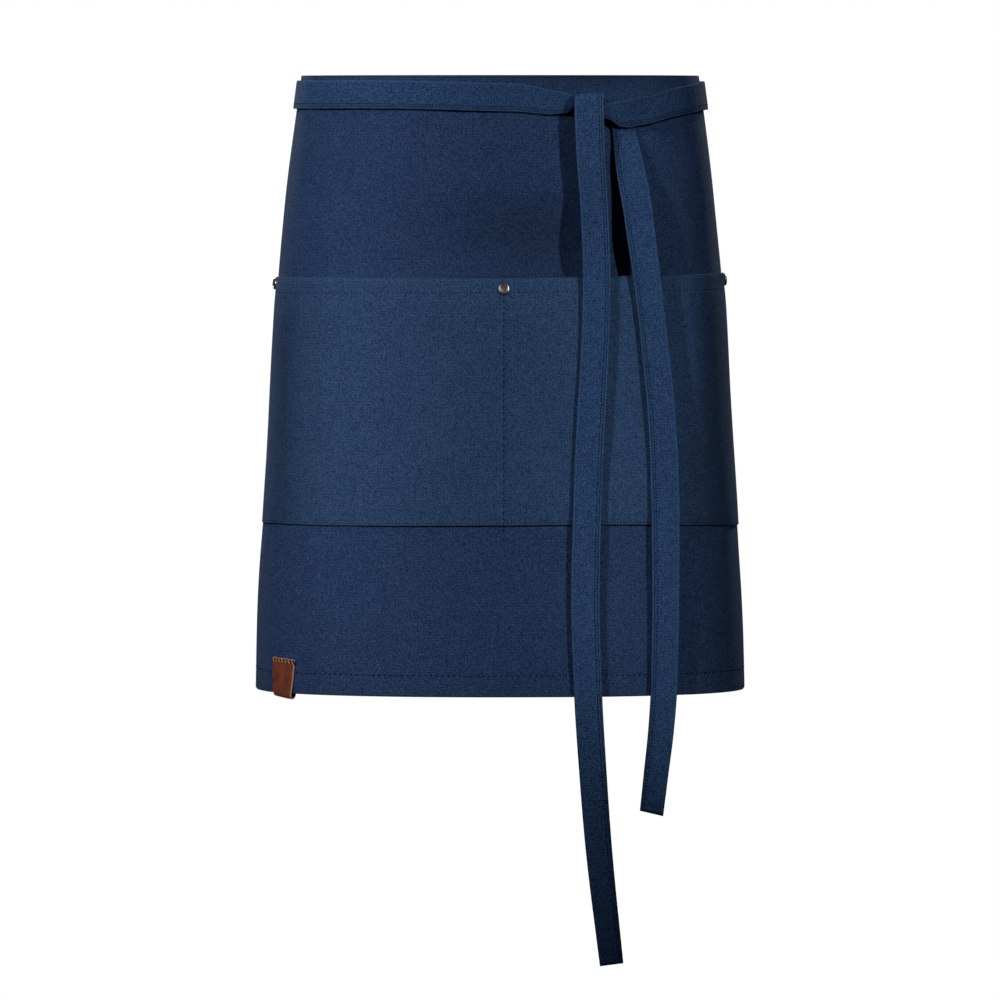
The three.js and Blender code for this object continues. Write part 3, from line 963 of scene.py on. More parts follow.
class NodeTree:
    """A Geometry Nodes tree that is built in code, with named inputs."""

    def __init__(self, name: str, inputs: dict[str, str]) -> None:
        """Starts a tree.

        Args:
            name: The tree's name.
            inputs: Socket types by input name; the geometry comes first by itself.
        """
        self.tree = bpy.data.node_groups.new(name, "GeometryNodeTree")
        face = self.tree.interface
        face.new_socket("Geometry", in_out="INPUT", socket_type="NodeSocketGeometry")
        made = {key: face.new_socket(key, in_out="INPUT", socket_type=kind) for key, kind in inputs.items()}
        face.new_socket("Geometry", in_out="OUTPUT", socket_type="NodeSocketGeometry")
        self.identifiers = {key: socket.identifier for key, socket in made.items()}
        self.start = self.tree.nodes.new("NodeGroupInput")
        self.end = self.tree.nodes.new("NodeGroupOutput")

    def given(self, name: str) -> Socket:
        """An input of the tree, by name."""
        return self.start.outputs[name]

    def add(self, kind: str, inputs: dict[str, Any], settings: dict[str, Any] | None = None) -> Socket:
        """Adds a node.

        Args:
            kind: The node's type.
            inputs: Values or links for its sockets, by name.
            settings: Its own settings, set first.

        Returns:
            The node's first output that is in use.
        """
        node = self.tree.nodes.new(kind)
        for key, setting in (settings or {}).items():
            setattr(node, key, setting)
        for key, given in inputs.items():
            socket = next(s for s in node.inputs if s.name == key and s.enabled)
            self.feed(socket, given)
        return next(s for s in node.outputs if s.enabled)

    def feed(self, socket: Socket, given: Any) -> None:
        """Sets or links one socket.

        Args:
            socket: The socket.
            given: A value or another node's output.
        """
        if isinstance(given, Socket):
            self.tree.links.new(given, socket)
        else:
            socket.default_value = given

    def math(self, operation: str, first: Any, second: Any) -> Socket:
        """Adds a Math node on two numbers or links.

        Args:
            operation: The node's operation.
            first: Its first value.
            second: Its second value.

        Returns:
            The node's result.
        """
        node = self.tree.nodes.new("ShaderNodeMath")
        node.operation = operation
        self.feed(node.inputs[0], first)
        self.feed(node.inputs[1], second)
        return node.outputs[0]

    def vector(self, x: Any, y: Any, z: Any) -> Socket:
        """A vector from three numbers or links."""
        return self.add("ShaderNodeCombineXYZ", {"X": x, "Y": y, "Z": z})

    def finish(self, instances: Socket, material: str) -> None:
        """Ends the tree with real faces and their material.

        Args:
            instances: What the tree has laid out.
            material: Name of the input that holds the material.
        """
        real = self.add("GeometryNodeRealizeInstances", {"Geometry": instances})
        smooth = self.add("GeometryNodeSetShadeSmooth", {"Geometry": real})
        dressed = self.add("GeometryNodeSetMaterial", {"Geometry": smooth, "Material": self.given(material)})
        self.tree.links.new(dressed, self.end.inputs[0])

    def apply(self, mesh: Mesh, values: dict[str, Any]) -> Mesh:
        """Runs the tree over a mesh.

        Args:
            mesh: What the tree starts from; it is used up.
            values: Values of the tree's inputs by name.

        Returns:
            A plain mesh of the result.
        """
        carrier = bpy.data.objects.new(mesh.name, mesh)
        bpy.context.scene.collection.objects.link(carrier)
        modifier = carrier.modifiers.new(self.tree.name, "NODES")
        modifier.node_group = self.tree
        for key, value in values.items():
            modifier[self.identifiers[key]] = value
        evaluated = carrier.evaluated_get(bpy.context.evaluated_depsgraph_get())
        result = bpy.data.meshes.new_from_object(evaluated)
        bpy.data.objects.remove(carrier)
        bpy.data.meshes.remove(mesh)
        return result


def stitch_tree() -> NodeTree:
    """Nodes that lay one stitch at each step along a line, flat on its surface.

    Returns:
        The tree.
    """
    numbers = ("Pitch", "Length", "Width", "Arch", "Shift", "Slant")
    inputs = {key: "NodeSocketFloat" for key in numbers}
    tree = NodeTree("stitches", {**inputs, "Seed": "NodeSocketInt", "Thread": "NodeSocketMaterial"})
    shift = tree.given("Shift")
    half = tree.math("MULTIPLY", tree.given("Length"), 0.5)
    radius = tree.math("MULTIPLY", tree.given("Width"), 0.5)
    lean = tree.math("MULTIPLY", tree.given("Slant"), 0.5)
    sink = tree.math("MULTIPLY", radius, -STITCH_SINK)
    start = tree.vector(tree.math("SUBTRACT", shift, half), tree.math("MULTIPLY", lean, -1.0), sink)
    end = tree.vector(tree.math("ADD", shift, half), lean, sink)
    middle = tree.vector(shift, 0.0, tree.given("Arch"))
    bow = {"Resolution": STITCH_STEPS, "Start": start, "Middle": middle, "End": end}
    line = tree.add("GeometryNodeCurveQuadraticBezier", bow)
    ring = tree.add("GeometryNodeCurvePrimitiveCircle", {"Resolution": STITCH_SIDES, "Radius": radius})
    stitch = tree.add("GeometryNodeCurveToMesh", {"Curve": line, "Profile Curve": ring, "Fill Caps": True})
    path = tree.add("GeometryNodeMeshToCurve", {"Mesh": tree.given("Geometry")})
    length = {"Curve": path, "Length": tree.given("Pitch")}
    steps = tree.add("GeometryNodeResampleCurve", length, {"mode": "LENGTH"})
    lift = tree.add("GeometryNodeInputNamedAttribute", {"Name": LIFT}, {"data_type": "FLOAT_VECTOR"})
    along = tree.add("GeometryNodeInputTangent", {})
    axes = {"Primary Axis": along, "Secondary Axis": lift}
    turn = tree.add("FunctionNodeAxesToRotation", axes, {"primary_axis": "X", "secondary_axis": "Z"})
    spread = {"Min": STITCH_SPREAD[0], "Max": STITCH_SPREAD[1], "Seed": tree.given("Seed")}
    scale = tree.add("FunctionNodeRandomValue", spread, {"data_type": "FLOAT"})
    laid = {"Points": steps, "Instance": stitch, "Rotation": turn, "Scale": tree.vector(scale, 1.0, 1.0)}
    tree.finish(tree.add("GeometryNodeInstanceOnPoints", laid), "Thread")
    return tree


def rivet_tree() -> NodeTree:
    """Nodes that set one rivet on each point, square to its surface.

    Returns:
        The tree.
    """
    tree = NodeTree("rivets", {"Cap": "NodeSocketObject", "Metal": "NodeSocketMaterial"})
    info = tree.tree.nodes.new("GeometryNodeObjectInfo")
    tree.tree.links.new(tree.given("Cap"), info.inputs["Object"])
    lift = tree.add("GeometryNodeInputNamedAttribute", {"Name": LIFT}, {"data_type": "FLOAT_VECTOR"})
    turn = tree.add("FunctionNodeAlignRotationToVector", {"Vector": lift}, {"axis": "Z"})
    laid = {"Points": tree.given("Geometry"), "Instance": info.outputs["Geometry"], "Rotation": turn}
    tree.finish(tree.add("GeometryNodeInstanceOnPoints", laid), "Metal")
    return tree


@dataclass(frozen=True)
class Seam:
    """How a line is sewn, in millimetres: the step, the thread that shows and the painted shade of the needle
    hole between stitches.
    """

    pitch: float
    length: float
    width: float
    arch: float
    prick: float = 0.0
    slant: float = 0.0
    seed: int = 3


SeamLines = list[tuple[Seam, list[Run]]]

HEM_SEAM = Seam(4.7, 3.2, 0.5, 0.2, prick=1.5)
TOP_SEAM = Seam(4.7, 3.6, 0.4, 0.15)
EDGE_SEAM = Seam(2.8, 1.7, 0.45, 0.15, prick=1.1)
DIVIDER_SEAM = Seam(5.0, 3.2, 0.5, 0.15, prick=1.4)
FAINT_SEAM = Seam(5.0, 3.2, 0.45, 0.12, prick=0.8)
MOUTH_SEAM = Seam(3.5, 2.5, 0.4, 0.12, prick=0.9)
TIE_SEAM = Seam(2.5, 1.6, 0.45, 0.15, prick=1.15)
TIE_HEM_SEAM = Seam(2.8, 2.0, 0.45, 0.15, prick=0.8)


@dataclass
class Sewing:
    """Sews lines of stitches with one node tree."""

    finishes: Finishes
    tree: NodeTree = field(default_factory=stitch_tree)
    # Size of the marks of painted shade in the needle holes.
    prick_width: float = 0.9
    prick_arch: float = 0.02

    def sew(self, name: str, lines: Sequence[tuple[Seam, Sequence[Run]]], thread: Material) -> Piece:
        """Sews lines and joins them into one piece.

        Args:
            name: The piece's name.
            lines: Each seam's kind with its runs.
            thread: The thread's material.

        Returns:
            The piece, with the thread in slot 0 and the painted shade of the needle holes in slot 1.
        """
        whole = bmesh.new()
        for seam, runs in lines:
            sizes = (seam.length, seam.width, seam.arch, 0.0)
            self.lay(whole, name, seam, runs, sizes, thread, 0)
            # Marks of painted shade in the needle holes, between the stitches.
            if seam.prick > 0:
                sizes = (seam.prick, self.prick_width * seam.prick, self.prick_arch, seam.pitch / 2)
                self.lay(whole, name, seam, runs, sizes, self.finishes.prick, 1)
        mesh = bpy.data.meshes.new(name)
        whole.to_mesh(mesh)
        whole.free()
        return place_object(name, mesh, (thread, self.finishes.prick))

    def lay(
        self,
        whole: bmesh.types.BMesh,
        name: str,
        seam: Seam,
        runs: Sequence[Run],
        sizes: tuple[float, float, float, float],
        material: Material,
        slot: int,
    ) -> None:
        """Adds one kind of mark along the runs.

        Args:
            whole: The mesh that they go into.
            name: The piece's name.
            seam: The seam's kind.
            runs: Its lines.
            sizes: Length, width, arch and shift along the line, in millimetres.
            material: The marks' material.
            slot: Their material slot.
        """
        keys = ("Length", "Width", "Arch", "Shift")
        values: dict[str, Any] = {key: size * MM for key, size in zip(keys, sizes)}
        values |= {"Pitch": seam.pitch * MM, "Slant": seam.slant * MM, "Seed": seam.seed, "Thread": material}
        made = self.tree.apply(run_mesh(name, runs), values)
        made.polygons.foreach_set("material_index", np.full(len(made.polygons), slot, np.int32))
        whole.from_mesh(made)
        bpy.data.meshes.remove(made)


def dress(piece: Piece, slot: Slot, *nodes: str) -> Piece:
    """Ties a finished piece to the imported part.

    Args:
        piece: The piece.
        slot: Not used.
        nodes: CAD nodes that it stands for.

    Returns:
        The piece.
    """
    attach(piece, ROOT)
    if nodes:
        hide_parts(*nodes)
    LOG.info("%s: %d faces", piece.name, len(piece.data.polygons))
    return piece


@dataclass
class ApronPanel:
    """The wrapped panel: single cloth with turned hems that thicken it on the inside."""

    form: WornForm
    width: float = 750.0
    length: float = 500.0
    cloth: float = 1.0
    turned: float = 1.8
    top_hem: float = 12.0
    bottom_hem: float = 18.0
    side_hem: float = 12.0
    hem_step: float = 1.5
    edge: float = 0.9
    step: float = 4.2
    hem_stitch: float = 17.2
    top_stitch: float = 10.5
    side_stitch: float = 10.5
    groove: float = 0.16
    groove_reach: float = 1.6
    hollow: float = 8.5
    hollow_middle: float = 22.0
    hollow_reach: float = 88.0
    hollow_start: tuple[float, float] = (82.0, 76.0)
    hollow_end: tuple[float, float] = (168.0, 40.0)
    # Painted shade: in the hollow, along the bottom and top rims, and beside the knot.
    hollow_dark: float = 0.022
    foot_dark: float = 0.75
    foot_fade: float = 0.9
    top_dark: float = 0.95
    top_fade: float = 1.0
    drawn_in: float = 0.36
    knot_at: float = 75.0
    knot_reach: float = 62.0
    knot_drop: float = 4.0
    knot_fall: float = 16.0
    line_step: float = 4.0

    def sunk(self, s: Array, drop: Array) -> Array:
        """Depth of the hollow that the ties and the pocket's mouth stand clear of."""
        upright = eased(drop, *self.hollow_start) * (1 - eased(drop, *self.hollow_end))
        return self.hollow * bell(s - self.hollow_middle, self.hollow_reach) * upright

    def crease(self, s: Array, drop: Array) -> Array:
        """Painted shade on the cloth: dark lines along its top and bottom rims, a darker patch on the top rim
        beside the knot, and shade in the hollow.

        Args:
            s: Arc length.
            drop: Distance below the top edge.

        Returns:
            Painted shade from 0 to 1.
        """
        # Painted shade: dark lines at the bottom and top rims, a darker patch beside the knot and darkening
        # in the hollow.
        foot = self.foot_dark * bell(self.length - drop, self.foot_fade)
        rim_painted_shade = foot + self.top_dark * bell(drop, self.top_fade)
        knot = self.drawn_in * bell(s - self.knot_at, self.knot_reach)
        knot = knot * bell(drop - self.knot_drop, self.knot_fall)
        return np.clip(rim_painted_shade + knot + self.hollow_dark * self.sunk(s, drop), 0.0, 1.0)

    def hem(self, s: Array, drop: Array) -> Array:
        """How far the cloth is turned double.

        Args:
            s: Arc length.
            drop: Distance below the top edge.

        Returns:
            From 0 where it is single to 1 in the hems.
        """
        inside = np.minimum.reduce(
            [
                self.width / 2 - np.abs(s) - self.side_hem,
                drop - self.top_hem,
                self.length - drop - self.bottom_hem,
            ]
        )
        return 1 - ramped(inside, 0.0, self.hem_step)

    def relief(self, s: Array, drop: Array) -> Array:
        """The grooves that the stitches draw in the outer face.

        Args:
            s: Arc length.
            drop: Distance below the top edge.

        Returns:
            Height of the face, below zero in a groove.
        """
        upright = bell(self.width / 2 - np.abs(s) - self.side_stitch, self.groove_reach)
        top = bell(drop - self.top_stitch, self.groove_reach)
        level = top + bell(self.length - drop - self.hem_stitch, self.groove_reach)
        return -self.groove * np.clip(upright + level, 0.0, 1.0)

    def offsets(self, s: Array, drop: Array) -> tuple[Array, Array]:
        """Both faces of the cloth, as distances outside the plain form.

        Args:
            s: Arc length.
            drop: Distance below the top edge.

        Returns:
            Outer and inner distances.
        """
        thick = self.cloth + (self.turned - self.cloth) * self.hem(s, drop)
        reach = np.minimum.reduce([self.width / 2 - np.abs(s), drop, self.length - drop])
        half = thick / 2 * rounding_at(reach, self.edge)
        middle = -thick / 2 - self.sunk(s, drop)
        return middle + half + self.relief(s, drop), middle - half

    def build(self, finishes: Finishes) -> Piece:
        """Builds and dresses the panel.

        Args:
            finishes: The materials.

        Returns:
            The piece.
        """
        half = self.width / 2
        sides = [half - self.side_hem - self.hem_step, half - self.side_hem, half - self.side_stitch]
        level = [self.top_stitch, self.top_hem, self.top_hem + self.hem_step]
        low = (self.bottom_hem + self.hem_step, self.bottom_hem, self.hem_stitch)
        level += [self.length - drop for drop in low]
        wall = Wall(
            "apron_cloth",
            lines_between(-half, half, self.step, self.edge, [*sides, *(-x for x in sides)]),
            lines_between(0.0, self.length, self.step, self.edge, level),
            self.offsets,
            lambda s, drop, off: self.form.point(s, -drop, off),
            self.crease,
        )
        return dress(place_object(wall.name, wall.mesh(), (finishes.twill,)), Slot.TWILL, "apron_panel")

    def line(self, s: Array, drop: Array) -> Run:
        """A line of stitches on the outer face."""
        s, drop = np.broadcast_arrays(np.asarray(s, float), np.asarray(drop, float))
        return Run(self.form.point(s, -drop, self.offsets(s, drop)[0]), self.form.normal(s, -drop))

    def lines(self) -> SeamLines:
        """The panel's hems.

        Returns:
            Each seam's kind with its runs.
        """
        half, step = self.width / 2, self.line_step
        across = np.arange(step - half, half - step, step)
        upright = np.arange(self.top_stitch, self.length - self.hem_stitch, step)
        side = half - self.side_stitch
        hems = [self.line(across, self.length - self.hem_stitch)]
        hems += [self.line(side, upright), self.line(-side, upright)]
        return [(HEM_SEAM, hems), (TOP_SEAM, [self.line(across, self.top_stitch)])]


RIVETS = Table(("s", "below", "turn"), ((-225.0, 5.5, 12.0), (3.1, 10.0, 0.0), (234.0, 5.5, 8.0)))


@dataclass
class PocketPanel:
    """The wide patch pocket: turned edges sewn to the panel, a hemmed mouth and one sewn divider."""

    panel: ApronPanel
    width: float = 475.0
    height: float = 200.0
    shift: float = 3.1
    drop: float = 162.0
    lean: float = 0.007
    gap: float = 0.25
    cloth: float = 1.0
    turned: float = 1.3
    loft: float = 0.75
    mouth_hem: float = 14.0
    turn: float = 12.0
    edge: float = 0.6
    step: float = 3.8
    divider: float = 3.1
    mouth_stitch: float = 12.3
    edge_stitch: float = 2.2
    divider_foot: float = 210.0
    # Painted shade: darker bands where the pocket turns away at both sides, a dark line along the mouth and a
    # dark line along the sewn edges.
    dulled: float = 0.32
    dulled_at: float = 194.0
    dulled_reach: float = 24.0
    dulled_ease: float = 40.0
    rim_dark: float = 0.4
    rim_darker: float = 0.55
    rim_middle: float = 30.0
    rim_reach: float = 110.0
    rim_fade: float = 0.95
    seam_dark: float = 0.9
    seam_in: float = 0.25
    seam_fade: float = 0.6
    sag: float = 5.2
    sag_from: float = 70.0
    sag_reach: float = 150.0
    hem_step: float = 1.5
    loft_reach: float = 16.0
    divider_press: float = 0.55
    divider_reach: float = 2.4
    divider_ease: float = 8.0
    divider_lines: tuple[float, ...] = (-2.4, -1.2, 0.0, 1.2, 2.4)
    rivet_press: float = 0.45
    rivet_drop: float = 7.0
    rivet_reach: float = 9.0
    groove: float = 0.16
    mouth_groove: float = 1.5
    edge_groove: float = 1.3
    gape: float = 1.8
    gape_at: float = 214.0
    gape_reach: float = 7.0
    gape_fall: float = 9.0
    edge_lines: tuple[float, float] = (1.0, 1.5)
    mouth_lines: tuple[float, float] = (1.0, 1.6)
    laid_from: tuple[float, float] = (37.0, -411.0)
    line_step: float = 3.0
    mouth_ticks: tuple[float, float] = (1.2, 3.6)
    divider_start: float = 17.0
    foot_start: float = 1.0
    foot_step: float = 2.0
    tail: float = 44.0
    tail_step: float = 4.0

    @property
    def left(self) -> float:
        """Arc length of the left edge."""
        return self.shift - self.width / 2

    @property
    def right(self) -> float:
        """Arc length of the right edge."""
        return self.shift + self.width / 2

    def mouth(self, s: Array) -> Array:
        """Height of the mouth's edge."""
        return -self.drop + self.lean * s

    def sewn(self, s: Array, below: Array) -> Array:
        """Distance to the nearest edge that is sewn down."""
        return np.minimum.reduce([s - self.left, self.right - s, self.height - below])

    def offsets(self, s: Array, below: Array) -> tuple[Array, Array]:
        """Both faces of the pocket, as distances outside the panel's outer face.

        Args:
            s: Arc length.
            below: Distance below the mouth's edge.

        Returns:
            Outer and inner distances.
        """
        sewn = self.sewn(s, below)
        doubled = 1 - ramped(np.minimum(sewn - self.turn, below - self.mouth_hem), 0.0, self.hem_step)
        thick = self.cloth + (self.turned - self.cloth) * doubled
        loft = self.loft * ramped(sewn, self.edge_stitch, self.loft_reach)
        press = self.divider_press * bell(s - self.divider, self.divider_reach)
        press = press * ramped(below, 0.0, self.divider_ease)
        for at in RIVETS.column("s"):
            away = np.hypot(s - at, below - self.rivet_drop)
            press = press + self.rivet_press * bell(away, self.rivet_reach)
        stitched = bell(below - self.mouth_stitch, self.mouth_groove)
        stitched = stitched + bell(sewn - self.edge_stitch, self.edge_groove)
        gape = self.gape * bell(s - self.gape_at, self.gape_reach) * bell(below, self.gape_fall)
        raised = self.gap + self.turned + np.maximum(loft - press, 0.0)
        outer = raised - self.groove * np.clip(stitched, 0.0, 1.0) + gape
        reach = np.minimum(sewn, below)
        half = thick / 2 * rounding_at(reach, self.edge)
        middle = outer - thick / 2
        return middle + half, middle - half

    def crease(self, s: Array, below: Array) -> Array:
        """Painted shade on the pocket: dark lines along its mouth and sewn edges, and darker bands where it
        turns away at both sides.

        Args:
            s: Arc length.
            below: Distance below the mouth's edge.

        Returns:
            Painted shade from 0 to 1.
        """
        # Painted shade: a dark line along the mouth, darkest near the middle, a dark line along the sewn
        # edges, and darker bands at both sides.
        rim = self.rim_dark + self.rim_darker * bell(s - self.rim_middle, self.rim_reach)
        rim = rim * bell(below, self.rim_fade)
        seam = self.seam_dark * bell(self.sewn(s, below) - self.seam_in, self.seam_fade) + rim
        turned = self.dulled * bell(np.abs(s) - self.dulled_at, self.dulled_reach)
        return np.clip(seam + turned * ramped(below, 0.0, self.dulled_ease), 0.0, 1.0)

    def place(self, s: Array, below: Array, off: Array) -> Array:
        """Points of the pocket over the panel's outer face."""
        return self.panel.form.point(s, self.mouth(s) - self.hung(s, below), off)

    def hung(self, s: Array, below: Array) -> Array:
        """Distance below the mouth's edge, with the sag of the pocket's right end."""
        right = ramped(s, self.sag_from, self.sag_reach)
        return below * (1 + self.sag / self.height * right * np.sqrt(right))

    def build(self, finishes: Finishes) -> Piece:
        """Builds and dresses the pocket.

        Args:
            finishes: The materials.

        Returns:
            The piece.
        """
        near = (*self.edge_lines, self.edge_stitch, self.turn, self.turn + self.hem_step)
        upright = [self.left + x for x in near] + [self.right - x for x in near]
        upright += [self.divider + x for x in self.divider_lines]
        level = [*self.mouth_lines, self.mouth_stitch, self.mouth_hem, self.mouth_hem + self.hem_step]
        level += [self.height - x for x in near]
        wall = Wall(
            "pocket_cloth",
            lines_between(self.left, self.right, self.step, self.edge, upright),
            lines_between(0.0, self.height, self.step, self.edge, level),
            self.offsets,
            self.place,
            self.crease,
            laid_from=self.laid_from,
        )
        piece = place_object(wall.name, wall.mesh(), (finishes.pocket_twill,))
        return dress(piece, Slot.TWILL, "pocket_panel")

    def line(self, s: Array, below: Array) -> Run:
        """A line of stitches on the outer face.

        Args:
            s: Arc length.
            below: Distance below the mouth's edge.

        Returns:
            The line.
        """
        s, below = np.broadcast_arrays(np.asarray(s, float), np.asarray(below, float))
        normal = self.panel.form.normal(s, self.mouth(s) - below)
        return Run(self.place(s, below, self.offsets(s, below)[0]), normal)

    def lines(self) -> SeamLines:
        """The pocket's edges, mouth hem and divider, with the divider's foot on the panel.

        Returns:
            Each seam's kind with its runs.
        """
        inset, step = self.edge_stitch, self.line_step
        across = np.arange(self.left + inset, self.right - inset, step)
        upright = np.arange(inset, self.height - inset, step)
        edges = [self.line(across, self.height - inset)]
        edges += [self.line(side, upright) for side in (self.left + inset, self.right - inset)]
        top = float(self.mouth(np.array(self.divider)))
        foot = top - self.divider_foot
        below = -np.arange(top - self.height - self.foot_start, foot, -self.foot_step)
        tail = np.arange(self.divider, self.divider + self.tail, self.tail_step)
        divider = [self.line(self.divider, np.arange(self.divider_start, self.height - inset, step))]
        divider += [self.panel.line(self.divider, below)]
        faint = [self.line(self.divider, np.array(self.mouth_ticks)), self.panel.line(tail, -foot)]
        mouth = [self.line(across, self.mouth_stitch)]
        return [(EDGE_SEAM, edges), (DIVIDER_SEAM, divider), (FAINT_SEAM, faint), (MOUTH_SEAM, mouth)]


@dataclass
class Rivets:
    """Three dark metal rivets at the pocket's mouth: rounded caps with a dish, posts and flat backs."""

    pocket: PocketPanel
    diameter: float = 10.0
    rise: float = 2.0
    rounding: float = 1.7
    dish: float = 0.42
    dish_flat: float = 5.2
    post: float = 4.0
    back: float = 8.0
    back_thickness: float = 0.9
    back_gap: float = 0.1
    bevel: float = 0.3
    foot_in: float = 0.45
    lip_in: float = 0.1
    lip_rise: float = 0.12
    dish_from: float = 0.15
    dish_steps: int = 5
    cap_steps: int = 9
    sides: int = 48

    def profile(self, inside: float) -> list[tuple[float, float]]:
        """Half of a rivet's section, from its back to the middle of its cap.

        Args:
            inside: How far below the cap's seat the flat back starts.

        Returns:
            Radius and height of each point.
        """
        cap, back, post = self.diameter / 2, self.back / 2, self.post / 2
        bottom, inner = inside - self.back_thickness, cap - self.rounding
        section = [(0.0, bottom), (back - self.bevel, bottom), (back, bottom + self.bevel), (back, inside)]
        section += [(post, inside), (post, 0.0)]
        section += [(cap - self.foot_in, 0.0), (cap - self.lip_in, self.lip_rise)]
        for turn in np.linspace(0.0, math.pi / 2, self.cap_steps):
            radius = cap - self.rounding * (1 - math.cos(turn))
            section.append((radius, self.rise - self.rounding * (1 - math.sin(turn))))
        for share in np.linspace(self.dish_from, 1.0, self.dish_steps):
            radius = inner + (self.dish_flat / 2 - inner) * share
            section.append((radius, self.rise - self.dish * (0.5 - 0.5 * math.cos(math.pi * share))))
        return [*section, (0.0, self.rise - self.dish)]

    def cap(self, inside: float) -> Mesh:
        """Turns the section round Z into one rivet.

        Args:
            inside: How far below the cap's seat the flat back starts.

        Returns:
            Its mesh, in metres.
        """
        shape = bmesh.new()
        section = self.profile(inside)
        ring = [shape.verts.new((r * MM, 0.0, h * MM)) for r, h in section]
        line = [shape.edges.new(pair) for pair in zip(ring[:-1], ring[1:])]
        turn = {"axis": (0, 0, 1), "cent": (0, 0, 0), "steps": self.sides, "angle": 2 * math.pi}
        bmesh.ops.spin(shape, geom=[*ring, *line], **turn)
        bmesh.ops.remove_doubles(shape, verts=shape.verts, dist=RIVET_MERGE)
        bmesh.ops.recalc_face_normals(shape, faces=shape.faces)
        mesh = bpy.data.meshes.new("rivet_cap")
        shape.to_mesh(mesh)
        shape.free()
        return mesh

    def lifts(self) -> Array:
        """The direction that each rivet faces, with its small turn about Z.

        Returns:
            One direction for each rivet.
        """
        s, below = RIVETS.column("s"), RIVETS.column("below")
        turn = np.radians(RIVETS.column("turn"))
        x, y, z = self.pocket.panel.form.normal(s, self.pocket.mouth(s) - below).T
        turned = (x * np.cos(turn) - y * np.sin(turn), x * np.sin(turn) + y * np.cos(turn), z)
        return np.stack(turned, axis=1)

    def build(self, finishes: Finishes) -> Piece:
        """Sets and dresses the three rivets.

        Args:
            finishes: The materials.

        Returns:
            The piece.
        """
        s, below = RIVETS.column("s"), RIVETS.column("below")
        seat = self.pocket.offsets(s, below)[0]
        spots = bpy.data.meshes.new("rivet_spots")
        spots.from_pydata((self.pocket.place(s, below, seat) * MM).tolist(), [], [])
        told = self.lifts().astype(np.float32).ravel()
        spots.attributes.new(LIFT, "FLOAT_VECTOR", "POINT").data.foreach_set("vector", told)
        inside = -float(seat.mean()) - self.pocket.panel.cloth - self.back_gap
        cap = bpy.data.objects.new("rivet_cap", self.cap(inside))
        bpy.context.scene.collection.objects.link(cap)
        mesh = rivet_tree().apply(spots, {"Cap": cap, "Metal": finishes.metal})
        bpy.data.objects.remove(cap)
        nodes = ("rivet_left", "rivet_center", "rivet_right")
        return dress(place_object("rivets", mesh, (finishes.metal,)), Slot.METAL, *nodes)


TIE_SHARES = (0.0, 0.005, 0.02, 0.04, 0.06, 0.078, 0.096, 0.12, 0.15, 0.174, 0.2, 0.27, 0.38)


